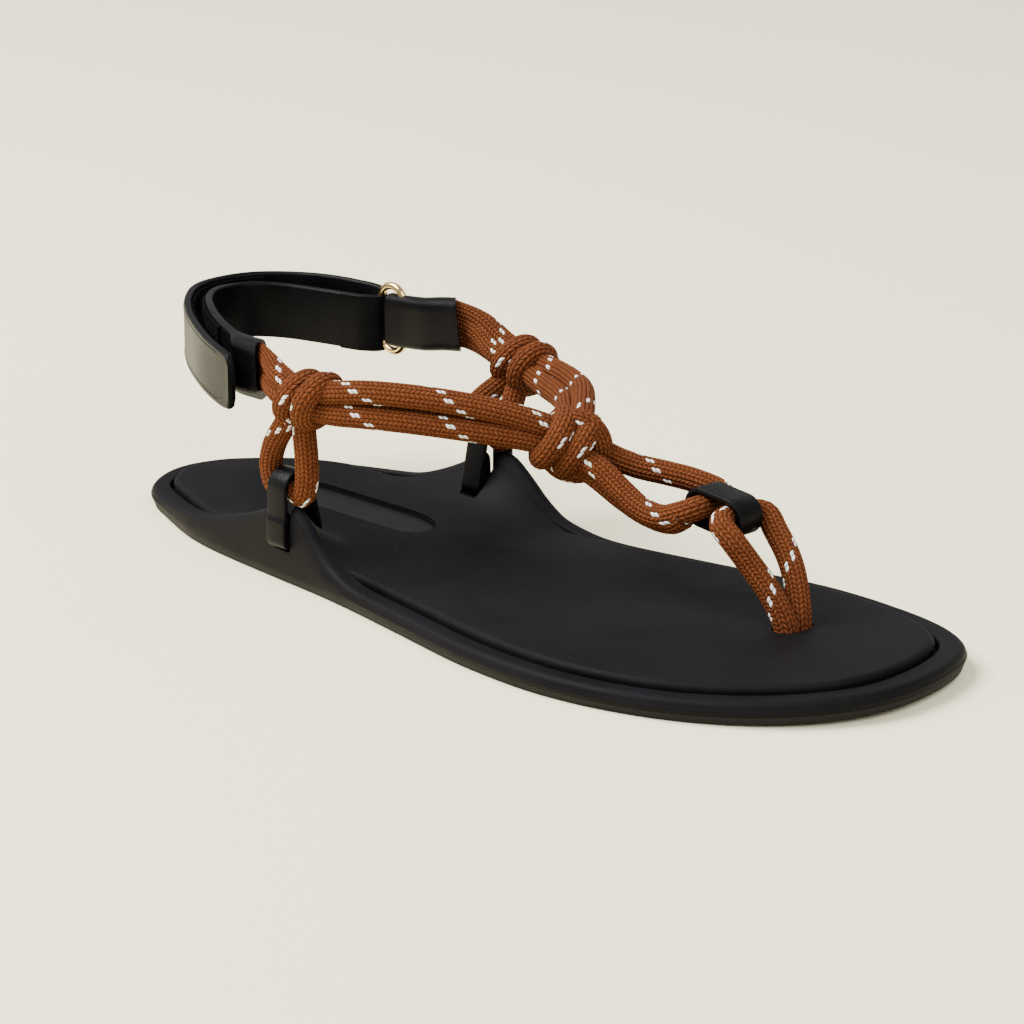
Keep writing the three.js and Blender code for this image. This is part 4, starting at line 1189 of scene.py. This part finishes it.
def leather_strip(route, height_of, thickness_of, skew_of, pitch=STRIP_PITCH):
    stops, runs, total = strip_frames(route, pitch)
    rings = []
    for (place, along, outwards, upwards), run in zip(stops, runs):
        share = run / total
        rings.append([
            place + outwards * out + upwards * up + along * (out * skew_of(share))
            for out, up in strip_section(
                height_of(share), thickness_of(share), EDGE_EASE * thickness_of(share)
            )
        ])
    return loft(rings, runs=runs)


def strap_thickness(share):
    return mix(SLEEVE_THICKNESS, STRAP_THICKNESS, smooth(SLEEVE_SHARE * 0.5, SLEEVE_SHARE, share))


def strap_height(share):
    left = min(1.0, (1 - share) / FLAP_CORNER_SHARE)
    rounding = 2 * FLAP_CORNER * (1 - math.sqrt(1 - (1 - left) ** 2))
    return STRAP_WIDTH - FLAP_CUT * smooth(0.975, 1, share) - rounding


def sleeve_thickness(share):
    return mix(SLEEVE_NECK, SLEEVE_THICKNESS, smooth(0.2, 0.75, share))


def facing_strip(span, face, height, thickness):
    """A strip laid on one face of the strap."""
    stops, runs, total = strip_frames(STRAP_ROUTE, STRIP_PITCH)
    rings, kept = [], []
    for (place, _, outwards, upwards), run in zip(stops, runs):
        share = run / total
        if not span[0] <= share <= span[1]:
            continue
        middle = place + outwards * (face * (strap_thickness(share) + thickness) / 2)
        section = strip_section(height, thickness + 2 * FACING_SUNK, EDGE_EASE * thickness)
        rings.append([middle + outwards * out + upwards * up for out, up in section])
        kept.append(run)
    return loft(rings, runs=kept)


def strap_skew(share):
    """The rope sleeve's mouth is cut back on the side of the foot."""
    return SLEEVE_SKEW * (1 - smooth(0, SLEEVE_SHARE / 2, share))


def sleeve_skew(share):
    return SLEEVE_SKEW * smooth(0.55, 1, share)


RING_CENTRE = share_point(0.186, 0.338, 0.97)
RING_SQUARENESS = 0.85


def strap_ring():
    l, h = (RING_LENGTH - RING_WIRE) / 2, (RING_HEIGHT - RING_WIRE) / 2
    squared = lambda v: math.copysign(abs(v) ** RING_SQUARENESS, v)
    points = []
    for i in range(20):
        angle = (i + 0.5) / 20 * 2 * math.pi
        points.append(beside(RING_CENTRE, l * squared(math.cos(angle)), 0, h * squared(math.sin(angle))))
    places, runs, total = spline(points, 96, closed=True)
    rings = []
    for place, (_, a, b) in zip(places, frames_along(places, True)):
        rings.append([
            place + (a * math.cos(t) + b * math.sin(t)) * RING_WIRE / 2
            for t in (2 * math.pi * k / 20 for k in range(20))
        ])
    return loft(rings, closed=True, runs=runs + [total])


STITCH_PITCH = 2.4
STITCH = Vector((1.7, 0.34, 0.42))
STITCH_EDGE = 1.5
STITCH_SPAN = (0.56, 0.97)


def stitches(route, height_of, thickness_of, faces, span):
    """Rows of short thread stitches sunk along both edges of a strip."""
    stops, runs, total = strip_frames(route, STITCH_PITCH)
    bm = bmesh.new()
    for (place, along, outwards, upwards), run in zip(stops, runs):
        share = run / total
        if not span[0] <= share <= span[1]:
            continue
        for face in faces:
            for edge in (-1, 1):
                up = edge * (height_of(share) / 2 - STITCH_EDGE)
                spot = place + outwards * (face * thickness_of(share) / 2) + upwards * up
                turn = Matrix((along, outwards, upwards)).transposed().to_4x4()
                shape = Matrix.Translation(spot) @ turn @ Matrix.Diagonal((*STITCH, 1))
                bmesh.ops.create_icosphere(bm, subdivisions=2, radius=0.5, matrix=shape)
    return bm


# Assembly
finished("tread_sole", tread_sole(), MATERIALS["tread"], "sole_rubber", ["outsole"])
slots = lambda: [slot_cutter(side) for side in SIDES] + [band_cutter(side) for side in SIDES]
wall = carved(sole_wall(), slots() + [post_cutter()])
finished("sole_wall_edge", wall, MATERIALS["wall"], "sole_wall", ["midsole"])
bed = carved(padded_footbed(), slots() + [post_cutter(), badge_cutter()])
footbed = finished("padded_footbed", bed, MATERIALS["footbed"], "footbed_leather", ["footbed"])
finished("badge_leather_panel", badge_panel(), MATERIALS["badge"], "badge_leather", ["badge_panel"])

ROPE_PIECES = {
    "rope_lateral_bundle": bundle(LATERAL_BUNDLE, -1),
    "rope_medial_bundle": bundle(MEDIAL_BUNDLE, 1),
    "rope_lateral_knot": knot("lateral"),
    "rope_medial_knot": knot("medial"),
    "rope_front_knot": knot("front"),
    "rope_lateral_loop": wing_loop("lateral"),
    "rope_medial_loop": wing_loop("medial"),
    "rope_front_loop": front_loop(),
}
for name, bm in ROPE_PIECES.items():
    finished(name, bm, MATERIALS["rope"], "braided_rope", ["rope_upper"], crease=180)
finished("rope_toe_loop", toe_loop(), MATERIALS["rope"], "braided_rope", ["toe_loop"], crease=180)

finished("leather_keeper", leather_keeper(), MATERIALS["strap"], "strap_leather", ["keeper"])
for side in SIDES:
    finished(f"leather_tab_{side}", leather_tab(side), MATERIALS["strap"], "strap_leather", [f"tab_{side}"])
ON_STRAP = ("strap_leather", ["heel_strap"])
heel_strap = leather_strip(STRAP_ROUTE, strap_height, strap_thickness, strap_skew)
finished("leather_heel_strap", heel_strap, MATERIALS["strap"], *ON_STRAP)
thread = stitches(STRAP_ROUTE, strap_height, strap_thickness, (1,), STITCH_SPAN)
finished("strap_stitches", thread, MATERIALS["strap"], *ON_STRAP, crease=180)
for layer, span in FASTENER.items():
    strip = facing_strip(span, -1, FASTENER_HEIGHT, FASTENER_THICKNESS)
    finished(f"strap_fastener_{layer}", strip, MATERIALS["fastener"], *ON_STRAP)
seam = facing_strip(SEAM_PATCH, 1, SEAM_HEIGHT, SEAM_THICKNESS)
finished("strap_seam", seam, MATERIALS["strap"], *ON_STRAP)
sleeve_height = lambda share: SLEEVE_HEIGHT
finished("leather_ring_sleeve", leather_strip(SLEEVE_ROUTE, sleeve_height, sleeve_thickness, sleeve_skew),
         MATERIALS["strap"], "strap_leather", ["ring_sleeve"])
finished("oval_strap_ring", strap_ring(), MATERIALS["brass"], "ring_brass", ["strap_ring"], crease=180)


# Studio
CAMERA_PLACE = Vector((0.70118, -0.67930, 0.31993))
CAMERA_AIM = Vector((0.002, 0.0, 0.021))
CAMERA_LENS = 146.0

camera_data = bpy.data.cameras.new("camera")
camera_data.lens = CAMERA_LENS
camera_data.sensor_width = 36.0
camera = bpy.data.objects.new("camera", camera_data)
bpy.context.scene.collection.objects.link(camera)
camera.location = CAMERA_PLACE
camera.rotation_euler = (CAMERA_AIM - CAMERA_PLACE).to_track_quat("-Z", "Y").to_euler()
bpy.context.scene.camera = camera


def backdrop():
    material, _, shader = new_material("backdrop")
    shader.inputs["Base Color"].default_value = (0.94, 0.89, 0.63, 1)
    shader.inputs["Roughness"].default_value = 0.9
    shader.inputs["Specular IOR Level"].default_value = 0.1
    bm = bmesh.new()
    bmesh.ops.create_grid(bm, x_segments=1, y_segments=1, size=6.0)
    floor = new_object("floor", bm, smooth_faces=False)
    floor.data.materials.append(material)


def softbox(name, place, size, power, colour):
    data = bpy.data.lights.new(name, "AREA")
    data.shape = "RECTANGLE"
    data.size, data.size_y = size
    data.energy = power
    data.color = colour
    lamp = bpy.data.objects.new(name, data)
    bpy.context.scene.collection.objects.link(lamp)
    lamp.location = place
    lamp.rotation_euler = (Vector(LAMP_AIM) - Vector(place)).to_track_quat("-Z", "Y").to_euler()


LAMP_AIM = (0, 0, 0.02)
backdrop()
softbox("key", (-0.75, -0.7, 1.35), (1.3, 1.0), 84.0, (1.0, 0.98, 0.95))
softbox("fill", (1.2, -0.3, 1.1), (1.4, 1.2), 26.0, (1.0, 0.99, 0.98))
softbox("rim", (-0.3, 1.3, 0.9), (1.4, 0.8), 3.0, (1.0, 0.98, 0.96))

world = bpy.data.worlds.new("studio")
world.use_nodes = True
world.node_tree.nodes["Background"].inputs[0].default_value = (0.94, 0.94, 0.95, 1)
world.node_tree.nodes["Background"].inputs[1].default_value = 0.55
bpy.context.scene.world = world
